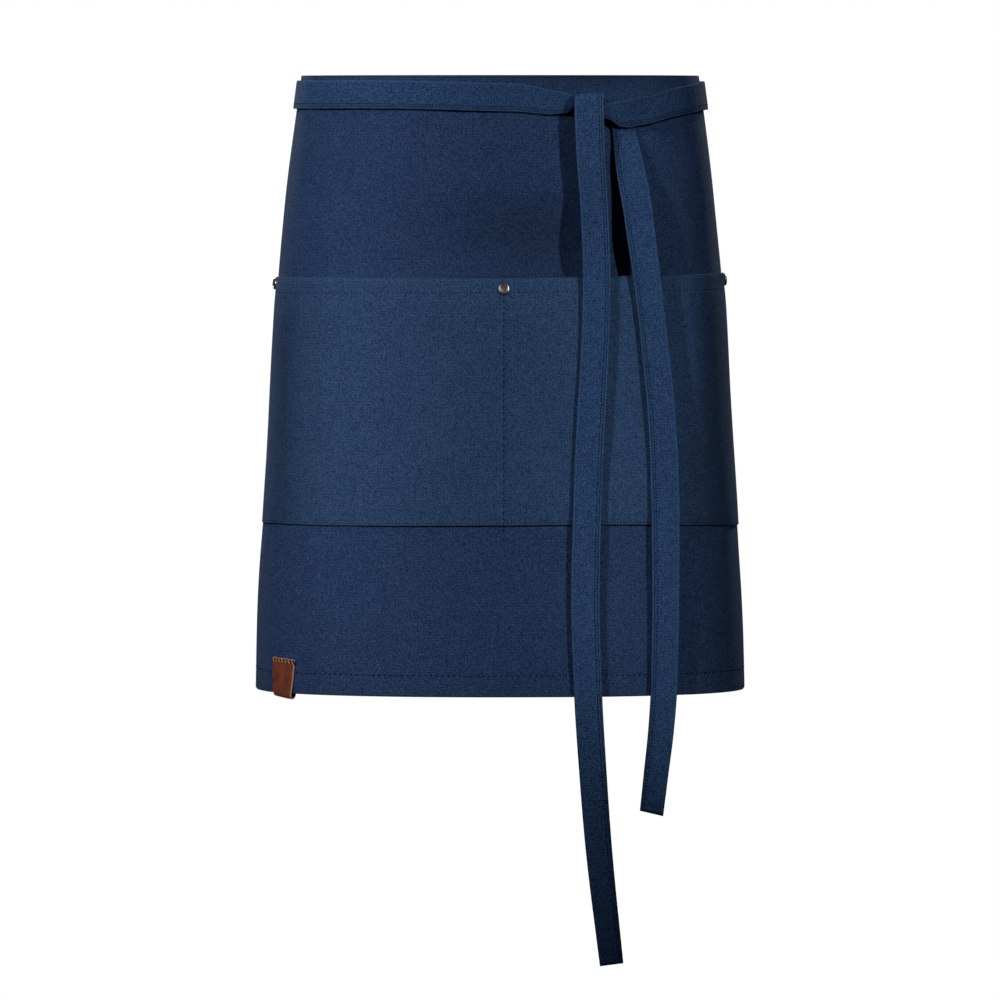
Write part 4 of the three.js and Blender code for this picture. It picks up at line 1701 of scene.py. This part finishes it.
@dataclass
class WaistTie:
    """One cloth tie: round the waist from its sewn end, through the knot and down to its free end."""

    form: WornForm
    side: Side
    run: Table
    knot: Table
    laid_from: tuple[float, float]
    width: float = 23.0
    thickness: float = 1.6
    layer_gap: float = 0.35
    sewn: float = 25.0
    panel_width: float = 750.0
    coarse: float = 12.5
    fine: float = 2.4
    knot_steps: int = 3
    groove_in: float = 1.8
    groove_depth: float = 0.17
    groove_reach: float = 0.6
    # Painted shade: a dark line in the seam's groove, dark lines at both edges and a dark rim along the free
    # end.
    groove_dark: float = 0.7
    groove_fade: float = 0.45
    stitch_in: float = 4.0
    stitch_depth: float = 0.12
    stitch_reach: float = 0.8
    dent_from: float = 1.0
    end_rounding: float = 1.2
    edge_dark: float = 0.7
    edge_fade: float = 0.3
    rim_fade: float = 0.9
    # Where the rubbed edge wear and painted highlight peaks and fades.
    worn_in: float = 0.6
    worn_reach: float = 0.7
    free_from: float = 485.0
    free_reach: float = 60.0
    # Painted shade on the run in front, beside the knot.
    dulled: float = 0.0
    dulled_at: float = 118.0
    dulled_reach: float = 55.0
    dulled_above: float = -46.0
    dulled_ease: float = 8.0
    end_inset: float = 4.0
    hem_in: float = 9.0
    hem_shares: tuple[float, float] = (0.1, 0.88)
    hem_points: int = 9
    one: Array = field(init=False)
    two: Array = field(init=False)
    thick: Array = field(init=False)

    def __post_init__(self) -> None:
        """Works out the tie's sections, close together."""
        first = self.waist_sections()
        second = self.knot_sections()
        one, two, thick = (np.concatenate(pair) for pair in zip(first, second))
        along = lengths_along((one + two) / 2)
        spots = [along[:1]]
        for start, end in zip(along[:-1], along[1:]):
            count = max(2, math.ceil((end - start) / self.fine))
            spots.append(np.linspace(start, end, count + 1)[1:])
        at = np.concatenate(spots)
        columns = [between(along, column, at) for column in (*one.T, *two.T, thick)]
        self.one, self.two = np.stack(columns[:3], axis=1), np.stack(columns[3:6], axis=1)
        self.thick = columns[6]

    def waist_sections(self) -> tuple[Array, Array, Array]:
        """Sections round the waist, from the sewn end at the back.

        Returns:
            Both edges of each section and its thickness.
        """
        level, sign = self.width / 2, self.side.value
        girth = self.form.half_girth(level)
        start, end = self.panel_width / 2 - self.sewn - girth, float(self.run.column("past")[-1])
        past = np.linspace(start, end, round((end - start) / self.coarse) + 1)
        values = self.run.at(past)
        pitch = self.thickness + self.layer_gap
        off = self.layer_gap + self.thickness / 2 + (values["layer"] - 1) * pitch
        s = np.where(past < 0, -sign * (girth + past), sign * (girth - past))
        angle = self.form.angle(s, np.full_like(s, level))
        edges = []
        for height in (values["z"] + level, values["z"] - level):
            drop = np.clip(-height, 0.0, self.form.length)
            x, y = self.form.rim(angle, drop)
            out_x, out_y = self.form.outward(angle, drop)
            edges.append(np.stack([x + out_x * off, y + out_y * off, height], axis=1))
        upper, lower = edges
        one, two = (upper, lower) if self.side is Side.LEFT else (lower, upper)
        return one, two, np.full(len(past), self.thickness)

    def knot_sections(self) -> tuple[Array, Array, Array]:
        """Sections through the knot and down to the free end.

        Returns:
            Both edges of each section and its thickness.
        """
        row = {name: self.knot.column(name) for name in self.knot.columns}
        one = self.form.front(row["x1"], row["z1"], row["off1"])
        two = self.form.front(row["x2"], row["z2"], row["off2"])
        along = lengths_along((one + two) / 2)
        steps = [np.linspace(a, b, self.knot_steps, endpoint=False) for a, b in zip(along[:-1], along[1:])]
        at = np.concatenate([*steps, along[-1:]])
        columns = [between(along, column, at) for column in (*one.T, *two.T, row["thick"])]
        return np.stack(columns[:3], axis=1), np.stack(columns[3:6], axis=1), columns[6]

    def faces_out(self) -> Array:
        """The direction square to the tie.

        Returns:
            One direction for each section.
        """
        middle = (self.one + self.two) / 2
        along = np.gradient(middle, axis=0)
        out = np.cross(along, self.two - self.one)
        return out / np.linalg.norm(out, axis=1, keepdims=True)

    def lengths(self) -> Array:
        """Distance of each section along the tie."""
        return lengths_along((self.one + self.two) / 2)

    def from_seam(self, share: Array) -> Array:
        """Distance from the sewn edge at a share of the width."""
        return self.width * (share if self.side is Side.RIGHT else 1 - share)

    def half_thickness(self, share: Array) -> Array:
        """Half the tie's thickness at a share of its width, rounded at both edges.

        Args:
            share: From 0 at one edge to 1 at the other.

        Returns:
            One row for each section.
        """
        reach = np.minimum(share, 1 - share)[None, :] * np.linalg.norm(self.two - self.one, axis=1)[:, None]
        inward, along = self.from_seam(share), self.lengths()
        dent = self.groove_depth * bell(inward - self.groove_in, self.groove_reach)
        dent = dent + self.stitch_depth * bell(inward - self.stitch_in, self.stitch_reach)
        half = self.thick[:, None] / 2 * rounding_at(reach, self.thickness / 2)
        half = half * rounding_at(np.minimum(along, along[-1] - along), self.end_rounding)[:, None]
        return half - dent[None, :] * (reach > self.dent_from)

    def hanging(self) -> Array:
        """How far each section hangs free below the panel, 0 to 1."""
        return ramped(-(self.one + self.two)[:, 2] / 2, self.free_from, self.free_reach)

    def shade(self) -> Array:
        """Painted shade on the run in front, beside the knot.

        Returns:
            One value for each section.
        """
        x, y, z = ((self.one + self.two) / 2).T
        above = ramped(z, self.dulled_above, self.dulled_ease)
        return self.dulled * bell(x - self.dulled_at, self.dulled_reach) * above * (y < 0)

    def build(self, finishes: Finishes) -> Piece:
        """Builds and dresses the tie.

        Args:
            finishes: The materials.

        Returns:
            The piece.
        """
        near = np.array(TIE_SHARES)
        share = np.concatenate([near, [0.5], 1 - near[::-1]])
        half = np.maximum(self.half_thickness(share), 0.0)
        base = self.one[:, None, :] * (1 - share)[None, :, None] + self.two[:, None, :] * share[None, :, None]
        out = self.faces_out()[:, None, :] * half[:, :, None]
        front, back = base + out, (base - out)[:, -2:0:-1]
        loop = np.concatenate([front, back], axis=1)
        sections, round_count = loop.shape[:2]
        grid = np.arange(sections * round_count).reshape(sections, round_count)
        grid = np.concatenate([grid, grid[:, :1]], axis=1)
        faces = Wall.quads(grid[:, ::-1])
        across = np.concatenate([share, share[-2:0:-1]]) * self.width
        along = np.broadcast_to(self.lengths()[:, None], (sections, round_count))
        laid = np.stack([across[None, :] + self.laid_from[0] + 0 * along, along + self.laid_from[1]], axis=-1)
        inside = np.minimum(across, self.width - across)
        inward = self.from_seam(across / self.width)
        # Painted shade: a dark line in the seam's groove, dark lines at both edges, a dark rim along the free
        # end and shade beside the knot.
        groove = self.groove_dark * bell(inward - self.groove_in, self.groove_fade)
        groove = groove + self.edge_dark * bell(inside, self.edge_fade)
        rim = bell(inside, self.rim_fade)[None, :] * self.hanging()[:, None]
        dark = np.clip(groove[None, :] + self.shade()[:, None] + rim, 0.0, 1.0)
        # The edge mark is rubbed wear and painted highlight; the shade mark is painted shade.
        marks = {EDGE_WEAR_AND_HIGHLIGHT: bell(inside - self.worn_in, self.worn_reach), PAINTED_SHADE: dark}
        marks = {key: np.broadcast_to(mark, (sections, round_count)).ravel() for key, mark in marks.items()}
        name = f"waist_tie_{self.side.name.lower()}"
        mesh = mesh_of(name, loop.reshape(-1, 3), faces, laid.reshape(-1, 2), marks)
        self.close_ends(mesh)
        piece = place_object(name, mesh, (finishes.tie_twill,))
        return dress(piece, Slot.TWILL, f"tie_{self.side.name.lower()}")

    @staticmethod
    def close_ends(mesh: Mesh) -> None:
        """Merges the tie's flattened ends, so that the mesh is closed.

        Args:
            mesh: The tie's mesh.
        """
        shape = bmesh.new()
        shape.from_mesh(mesh)
        bmesh.ops.remove_doubles(shape, verts=shape.verts, dist=TIE_MERGE)
        bmesh.ops.recalc_face_normals(shape, faces=shape.faces)
        shape.to_mesh(mesh)
        shape.free()

    def lines(self) -> SeamLines:
        """The seam along one edge, on both faces, and the hem across the free end.

        Returns:
            Each seam's kind with its runs.
        """
        share = self.stitch_in / self.width
        share = share if self.side is Side.RIGHT else 1 - share
        half = self.half_thickness(np.array([share]))
        base = self.one * (1 - share) + self.two * share
        out, along = self.faces_out(), self.lengths()
        kept = (along > self.end_inset) & (along < along[-1] - self.end_inset)
        seam = [Run((base + sign * out * half)[kept], sign * out[kept]) for sign in (1.0, -1.0)]
        end = int(np.searchsorted(along, along[-1] - self.hem_in))
        shares = np.linspace(*self.hem_shares, self.hem_points)
        across = self.one[end] * (1 - shares)[:, None] + self.two[end] * shares[:, None]
        lift = np.broadcast_to(out[end], across.shape)
        hem = [Run(across + sign * lift * self.thickness / 2, sign * lift) for sign in (1.0, -1.0)]
        return [(TIE_SEAM, seam), (TIE_HEM_SEAM, hem)]


@dataclass
class LeatherLabel:
    """A strip of leather folded over the hem, sewn through at its top."""

    panel: ApronPanel
    x: float = -174.6
    width: float = 25.2
    leg: float = 29.0
    hang: float = 2.6
    leather: float = 1.7
    gap: float = 0.3
    raw: float = 0.3
    step: float = 2.0
    stand_off: float = 1.2
    tilt: float = 1.3
    taper: tuple[float, float] = (1.3, 2.8)
    bow: float = 0.9
    pull: float = 1.5
    stitches: int = 7
    stitch_drop: float = 2.3
    stitch_inset: float = 1.6
    stitch_points: int = 12
    pitch_inset: float = 2.0

    @property
    def bend(self) -> float:
        """Outer radius of the fold."""
        return (2 * (self.gap + self.leather) + self.panel.turned) / 2

    @property
    def straight(self) -> float:
        """Length of each leg above the fold."""
        return self.leg + self.hang - self.bend

    @property
    def curve(self) -> float:
        """Length of the leather's middle round the fold."""
        return math.pi * (self.bend - self.leather / 2)

    @property
    def flat_length(self) -> float:
        """Length of the strip before it was folded."""
        return 2 * self.straight + self.curve

    @property
    def centre(self) -> float:
        """Arc length of the label's middle."""
        return float(self.panel.form.arc_at(np.array(self.x), np.array(-self.panel.length)))

    def place(self, s: Array, along: Array, off: Array) -> Array:
        """Points of the strip.

        Args:
            s: Arc length.
            along: Distance down the front, round the fold and up the inside.
            off: Distance outside the leather's middle.

        Returns:
            The points.
        """
        hem = -self.panel.length
        turn = ramped(along, self.straight, self.curve) * math.pi
        past = np.maximum(along - self.straight - self.curve, 0.0)
        up = np.where(along < self.straight, self.straight - along, past)
        height = hem - self.hang + self.bend + up
        radius = self.bend - self.leather / 2 + off
        middle = -self.panel.turned / 2
        right = np.clip((s - self.centre) / self.width + 0.5, 0.0, 1.0)
        low = ramped(along, 0.0, self.straight)
        front = (1 + np.cos(turn)) / 2
        pulled = low**self.pull
        apart = self.stand_off * right * pulled * front
        fade = ramped(self.flat_length - along, 0.0, self.straight)
        left_in, right_in = self.taper
        drawn = fade * (left_in * (1 - right) - right_in * right) * pulled
        drawn = drawn - self.bow * np.sin(math.pi * low) * (1 - right)
        at = self.panel.form.point(s + drawn, np.maximum(height, hem), middle + radius * np.cos(turn) + apart)
        at[..., 2] = height - radius * np.sin(turn) - self.tilt * right * (1 + low * front)
        return at

    def offsets(self, s: Array, along: Array) -> tuple[Array, Array]:
        """Both faces of the leather, as distances from its middle.

        Args:
            s: Arc length.
            along: Distance down the front, round the fold and up the inside.

        Returns:
            Outer and inner distances.
        """
        reach = np.minimum.reduce([self.width / 2 - np.abs(s - self.centre), along, self.flat_length - along])
        half = self.leather / 2 * rounding_at(reach, self.raw)
        return half, -half

    def build(self, finishes: Finishes) -> Piece:
        """Builds and dresses the label.

        Args:
            finishes: The materials.

        Returns:
            The piece.
        """
        half = self.width / 2
        wall = Wall(
            "leather_label",
            lines_between(self.centre - half, self.centre + half, self.step, self.raw),
            lines_between(0.0, self.flat_length, self.step / 2, self.raw),
            self.offsets,
            self.place,
            lambda s, along: np.zeros_like(s),
        )
        mesh = wall.mesh()
        piece = place_object(wall.name, mesh, (finishes.leather, finishes.raw_edge))
        rows, columns = len(wall.down) - 1, len(wall.across) - 1
        down, across = (wall.down[:-1] + wall.down[1:]) / 2, (wall.across[:-1] + wall.across[1:]) / 2
        sides = np.minimum(across - wall.across[0], wall.across[-1] - across) < self.raw
        ends = np.minimum(down, self.flat_length - down) < self.raw
        cut = (sides[None, :] | ends[:, None]).reshape(rows, columns)
        slots = np.concatenate([cut.ravel(), cut[:, ::-1].ravel()]).astype(np.int32)
        mesh.polygons.foreach_set("material_index", slots)
        return dress(piece, Slot.LEATHER, "label")

    def lines(self) -> SeamLines:
        """Slanted stitches of thick thread across the label's top, on both legs.

        Returns:
            Each seam's kind with its runs.
        """
        pitch = (self.width - self.pitch_inset) / self.stitches
        reach = self.width / 2 - self.stitch_inset
        s = self.centre + np.linspace(-reach, reach, self.stitch_points)
        runs = []
        for along in (self.stitch_drop, self.flat_length - self.stitch_drop):
            down = np.full_like(s, along)
            points = self.place(s, down, np.full_like(s, self.leather / 2))
            ahead = self.place(s, down, np.full_like(s, self.leather / 2 + 1.0)) - points
            runs.append(Run(points, ahead))
        return [(Seam(pitch, 2.2, 1.0, 0.8, prick=1.3, slant=-3.0, seed=11), runs)]


@dataclass(frozen=True)
class SoftBox:
    """One rectangular light that faces the apron.

    The azimuth is in degrees from the front towards +X. The aim is in metres, to the right of the apron's
    middle and above it. The spread is the opening angle of its grid in degrees, and the power is in watts.
    """

    name: str
    azimuth: float
    aim: tuple[float, float]
    spread: float
    power: float


SOFT_BOXES = (
    SoftBox("soft_box_left", -42.0, (-0.157, 0.05), 10.4, 0.525),
    SoftBox("soft_box_right", 50.0, (-0.005, -0.06), 14.2, 0.47),
    SoftBox("soft_box_front", -42.0, (0.157, 0.10), 5.0, 0.265),
    SoftBox("soft_box_rear_left", -148.0, (0.0, 0.0), 60.0, 1.9),
    SoftBox("soft_box_rear_right", 148.0, (0.0, 0.0), 60.0, 1.9),
    SoftBox("soft_box_rear", 180.0, (0.0, 0.0), 60.0, 1.3),
)


@dataclass
class Studio:
    """Camera, soft boxes, white surroundings and a pale floor."""

    scale: float = 0.8045e-3
    front: float = -0.105
    distance: float = 7.0
    eye_height: float = -0.035
    top_row: float = 75.5
    frame: float = 1000.0
    sensor: float = 36.0
    floor_height: float = -1.02
    floor_radius: float = 2.4
    floor_sides: int = 96
    clip_end: float = 100.0
    ambient: float = 0.028
    away: float = 2.0
    above: float = 0.95
    box_width: float = 0.08
    box_height: float = 0.85
    middle: Vector = field(default_factory=lambda: Vector((0.0, -0.10, -0.17)))

    def camera(self) -> None:
        """Makes the camera at the photograph's place."""
        aim = Vector((0.0, self.front, -(self.frame / 2 - self.top_row) * self.scale))
        eye = Vector((0.0, self.front - self.distance, self.eye_height))
        data = bpy.data.cameras.new("camera")
        data.sensor_width = self.sensor
        data.lens = self.sensor * (aim - eye).length / (self.frame * self.scale)
        data.clip_end = self.clip_end
        camera = bpy.data.objects.new("camera", data)
        camera.location = eye
        camera.rotation_euler = (aim - eye).to_track_quat("-Z", "Y").to_euler()
        bpy.context.scene.collection.objects.link(camera)
        bpy.context.scene.camera = camera

    def light(self, box: SoftBox) -> None:
        """Sets up one soft box.

        Args:
            box: What it is and where it stands.
        """
        data = bpy.data.lights.new(box.name, "AREA")
        data.shape = "RECTANGLE"
        data.size, data.size_y = self.box_width, self.box_height
        data.energy = box.power
        data.spread = math.radians(box.spread)
        turn = math.radians(box.azimuth)
        light = bpy.data.objects.new(box.name, data)
        aside, up = box.aim
        target = self.middle + Vector((aside, 0.0, up))
        away = Vector((self.away * math.sin(turn), -self.away * math.cos(turn), self.above))
        light.location = target + away
        light.rotation_euler = (target - light.location).to_track_quat("-Z", "Y").to_euler()
        bpy.context.scene.collection.objects.link(light)

    def surroundings(self) -> None:
        """Makes the surroundings white to look at and dim as a light."""
        world = bpy.data.worlds.new("white_room")
        bpy.context.scene.world = world
        world.use_nodes = True
        tree = world.node_tree
        tree.nodes.clear()
        path = tree.nodes.new("ShaderNodeLightPath")
        seen, dim = tree.nodes.new("ShaderNodeBackground"), tree.nodes.new("ShaderNodeBackground")
        seen.inputs["Strength"].default_value = 1.0
        dim.inputs["Strength"].default_value = self.ambient
        for shader in (seen, dim):
            shader.inputs["Color"].default_value = (1.0, 1.0, 1.0, 1.0)
        mix, out = tree.nodes.new("ShaderNodeMixShader"), tree.nodes.new("ShaderNodeOutputWorld")
        tree.links.new(path.outputs["Is Camera Ray"], mix.inputs[0])
        tree.links.new(dim.outputs[0], mix.inputs[1])
        tree.links.new(seen.outputs[0], mix.inputs[2])
        tree.links.new(mix.outputs[0], out.inputs[0])

    def floor(self) -> None:
        """Lays the pale floor under the apron."""
        shape = bmesh.new()
        bmesh.ops.create_circle(shape, cap_ends=True, radius=self.floor_radius, segments=self.floor_sides)
        mesh = bpy.data.meshes.new("floor")
        shape.to_mesh(mesh)
        shape.free()
        floor = place_object("floor", mesh, (Plaster().material(),))
        mesh.transform(Matrix.Translation((0.0, 0.0, self.floor_height)))

    def build(self) -> None:
        """Sets up the whole studio."""
        self.camera()
        for box in SOFT_BOXES:
            self.light(box)
        self.surroundings()
        self.floor()
        view = bpy.context.scene.view_settings
        view.view_transform = "Standard"
        view.look = "None"


RUN_COLUMNS = ("past", "z", "layer")
KNOT_COLUMNS = ("x1", "z1", "off1", "x2", "z2", "off2", "thick")

LEFT_RUN = Table(
    RUN_COLUMNS,
    (
        (-95, -15.5, 1),
        (-18, -37.5, 1),
        (18, -37.5, 2),
        (105, -15.5, 2),
        (135, -15.5, 1.3),
        (215, -15.5, 1.6),
        (330, -15.5, 1.4),
        (455, -18.2, 1),
    ),
)
RIGHT_RUN = Table(
    RUN_COLUMNS,
    (
        (-95, -15.5, 1),
        (-18, -13, 1),
        (18, -13, 2),
        (105, -15.5, 2),
        (135, -15.5, 1.5),
        (240, -16.3, 2.2),
        (285, -20.5, 1.9),
        (306, -24.2, 2.2),
        (320, -27.6, 2.7),
    ),
)
LEFT_KNOT = Table(
    KNOT_COLUMNS,
    (
        (40, -11.5, 2.8, 40, -31.8, 1.6, 1.6),
        (54.5, -14.6, 6.2, 54.5, -30.4, 3.6, 1.8),
        (59.2, -17.2, 6.6, 59.2, -26.6, 5.6, 2.2),
        (60.4, -18.4, 5.2, 66, -27, 5.2, 2.2),
        (60, -18.8, 5, 74, -25.6, 5, 2),
        (60, -19.6, 5, 81, -22.4, 5, 1.8),
        (59.8, -19, 5.2, 83, -18, 5.2, 1.7),
        (59.6, -17, 6.4, 83, -15.4, 6.4, 1.6),
        (59.5, -16.2, 9, 83, -14.5, 9, 1.6),
        (59.4, -17, 11.6, 83, -15.4, 11.6, 1.6),
        (59.4, -20, 13.2, 83.1, -18.5, 13.3, 1.6),
        (60.7, -60, 12.8, 84.1, -60, 13.8, 1.6),
        (63.8, -100, 10.6, 86.5, -100, 12, 1.6),
        (66.3, -162, 6.4, 88.7, -162, 9.4, 1.6),
        (66, -189, 5.4, 88.5, -189, 9.2, 1.6),
        (60.2, -301, 5, 83.4, -301, 7.4, 1.6),
        (58.2, -361, 4.5, 81.2, -361, 6.4, 1.6),
        (56.9, -422, 3.6, 80.2, -422, 5.4, 1.6),
        (59.3, -494, 2.6, 82.1, -494, 5.6, 1.6),
        (63.6, -560, 2, 85.8, -560, 8.2, 1.6),
        (68.9, -623, 1.6, 90.3, -623, 9.4, 1.6),
        (80.5, -717.4, 1.2, 99.4, -714.6, 9, 1.6),
    ),
)
RIGHT_KNOT = Table(
    KNOT_COLUMNS,
    (
        (112, -40.6, 4, 112, -17, 7.6, 1.6),
        (104.5, -42.3, 5.2, 104.5, -18.9, 9, 1.6),
        (97.5, -42, 6.4, 96, -20.5, 9.6, 1.8),
        (90.5, -37.4, 7.2, 89.5, -22.2, 9, 2.1),
        (83, -35, 7.8, 83, -24, 8.4, 2.2),
        (74.5, -36, 8, 74.5, -28.4, 8, 2.2),
        (71.8, -36.4, 7.1, 71.8, -28.8, 7.1, 2.2),
        (70.6, -36.6, 5, 70.6, -29, 5, 2.2),
        (71.8, -36.8, 2.9, 71.8, -29, 2.9, 2.2),
        (74.5, -37, 2, 74.5, -28.8, 2, 2.2),
        (84, -38, 2, 86, -25.6, 2, 2.1),
        (88.4, -39, 2, 97, -26.4, 2, 2),
        (89.4, -40, 2, 104, -31, 2.1, 1.8),
        (89.8, -42, 2, 106.5, -39, 2.3, 1.7),
        (90.6, -50, 2, 110, -49, 2.6, 1.6),
        (92.6, -73, 5, 116.2, -73, 7.8, 1.6),
        (97.2, -99, 7.6, 121.4, -99, 10.4, 1.6),
        (102.4, -133, 9.6, 125.7, -133, 12.2, 1.6),
        (110.2, -188, 7, 132.4, -188, 11.4, 1.6),
        (120.4, -301, 6.6, 143.4, -301, 10.4, 1.6),
        (122, -361, 6.2, 145, -361, 9.4, 1.6),
        (122.6, -422, 5.6, 144.6, -422, 8.2, 1.6),
        (121.4, -494, 4.4, 143, -494, 8, 1.6),
        (112.7, -592.5, 1, 131.5, -596.5, 14, 1.6),
    ),
)


@dataclass
class Apron:
    """The whole apron, built piece by piece."""

    finishes: Finishes
    form: WornForm = field(default_factory=WornForm)

    def build(self) -> None:
        """Builds every piece."""
        sewing = Sewing(self.finishes)
        thread = self.finishes.thread
        panel = ApronPanel(self.form)
        cloth = panel.build(self.finishes)
        hems = dress(sewing.sew("panel_stitches", panel.lines(), thread), Slot.TWILL)
        pocket = PocketPanel(panel)
        patch = pocket.build(self.finishes)
        seams = dress(sewing.sew("pocket_stitches", pocket.lines(), thread), Slot.TWILL)
        Rivets(pocket).build(self.finishes)
        ties = (
            WaistTie(self.form, Side.LEFT, LEFT_RUN, LEFT_KNOT, (900.0, 60.0)),
            WaistTie(self.form, Side.RIGHT, RIGHT_RUN, RIGHT_KNOT, (1000.0, -90.0), dulled=0.2),
        )
        for tie in ties:
            strip = tie.build(self.finishes)
            sewn = dress(sewing.sew(f"{strip.name}_stitches", tie.lines(), thread), Slot.TWILL)
            flat = (tie.width * MM, round(float(tie.lengths()[-1])) * MM)
        label = LeatherLabel(panel)
        strip = label.build(self.finishes)
        sewn = dress(sewing.sew("label_stitches", label.lines(), self.finishes.waxed_thread), Slot.LEATHER)
        flat = (label.width * MM, label.flat_length * MM)
        flat = (panel.width * MM, panel.length * MM)
        flat = (pocket.width * MM, pocket.height * MM)


def main() -> None:
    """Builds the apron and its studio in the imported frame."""
    logging.basicConfig(level=logging.INFO, format="%(name)s: %(message)s")
    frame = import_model()
    LOG.info("%d packed nodes", len(frame["nodes"]))
    Studio().build()
    Apron(Finishes.make()).build()


if __name__ == "__main__":
    main()
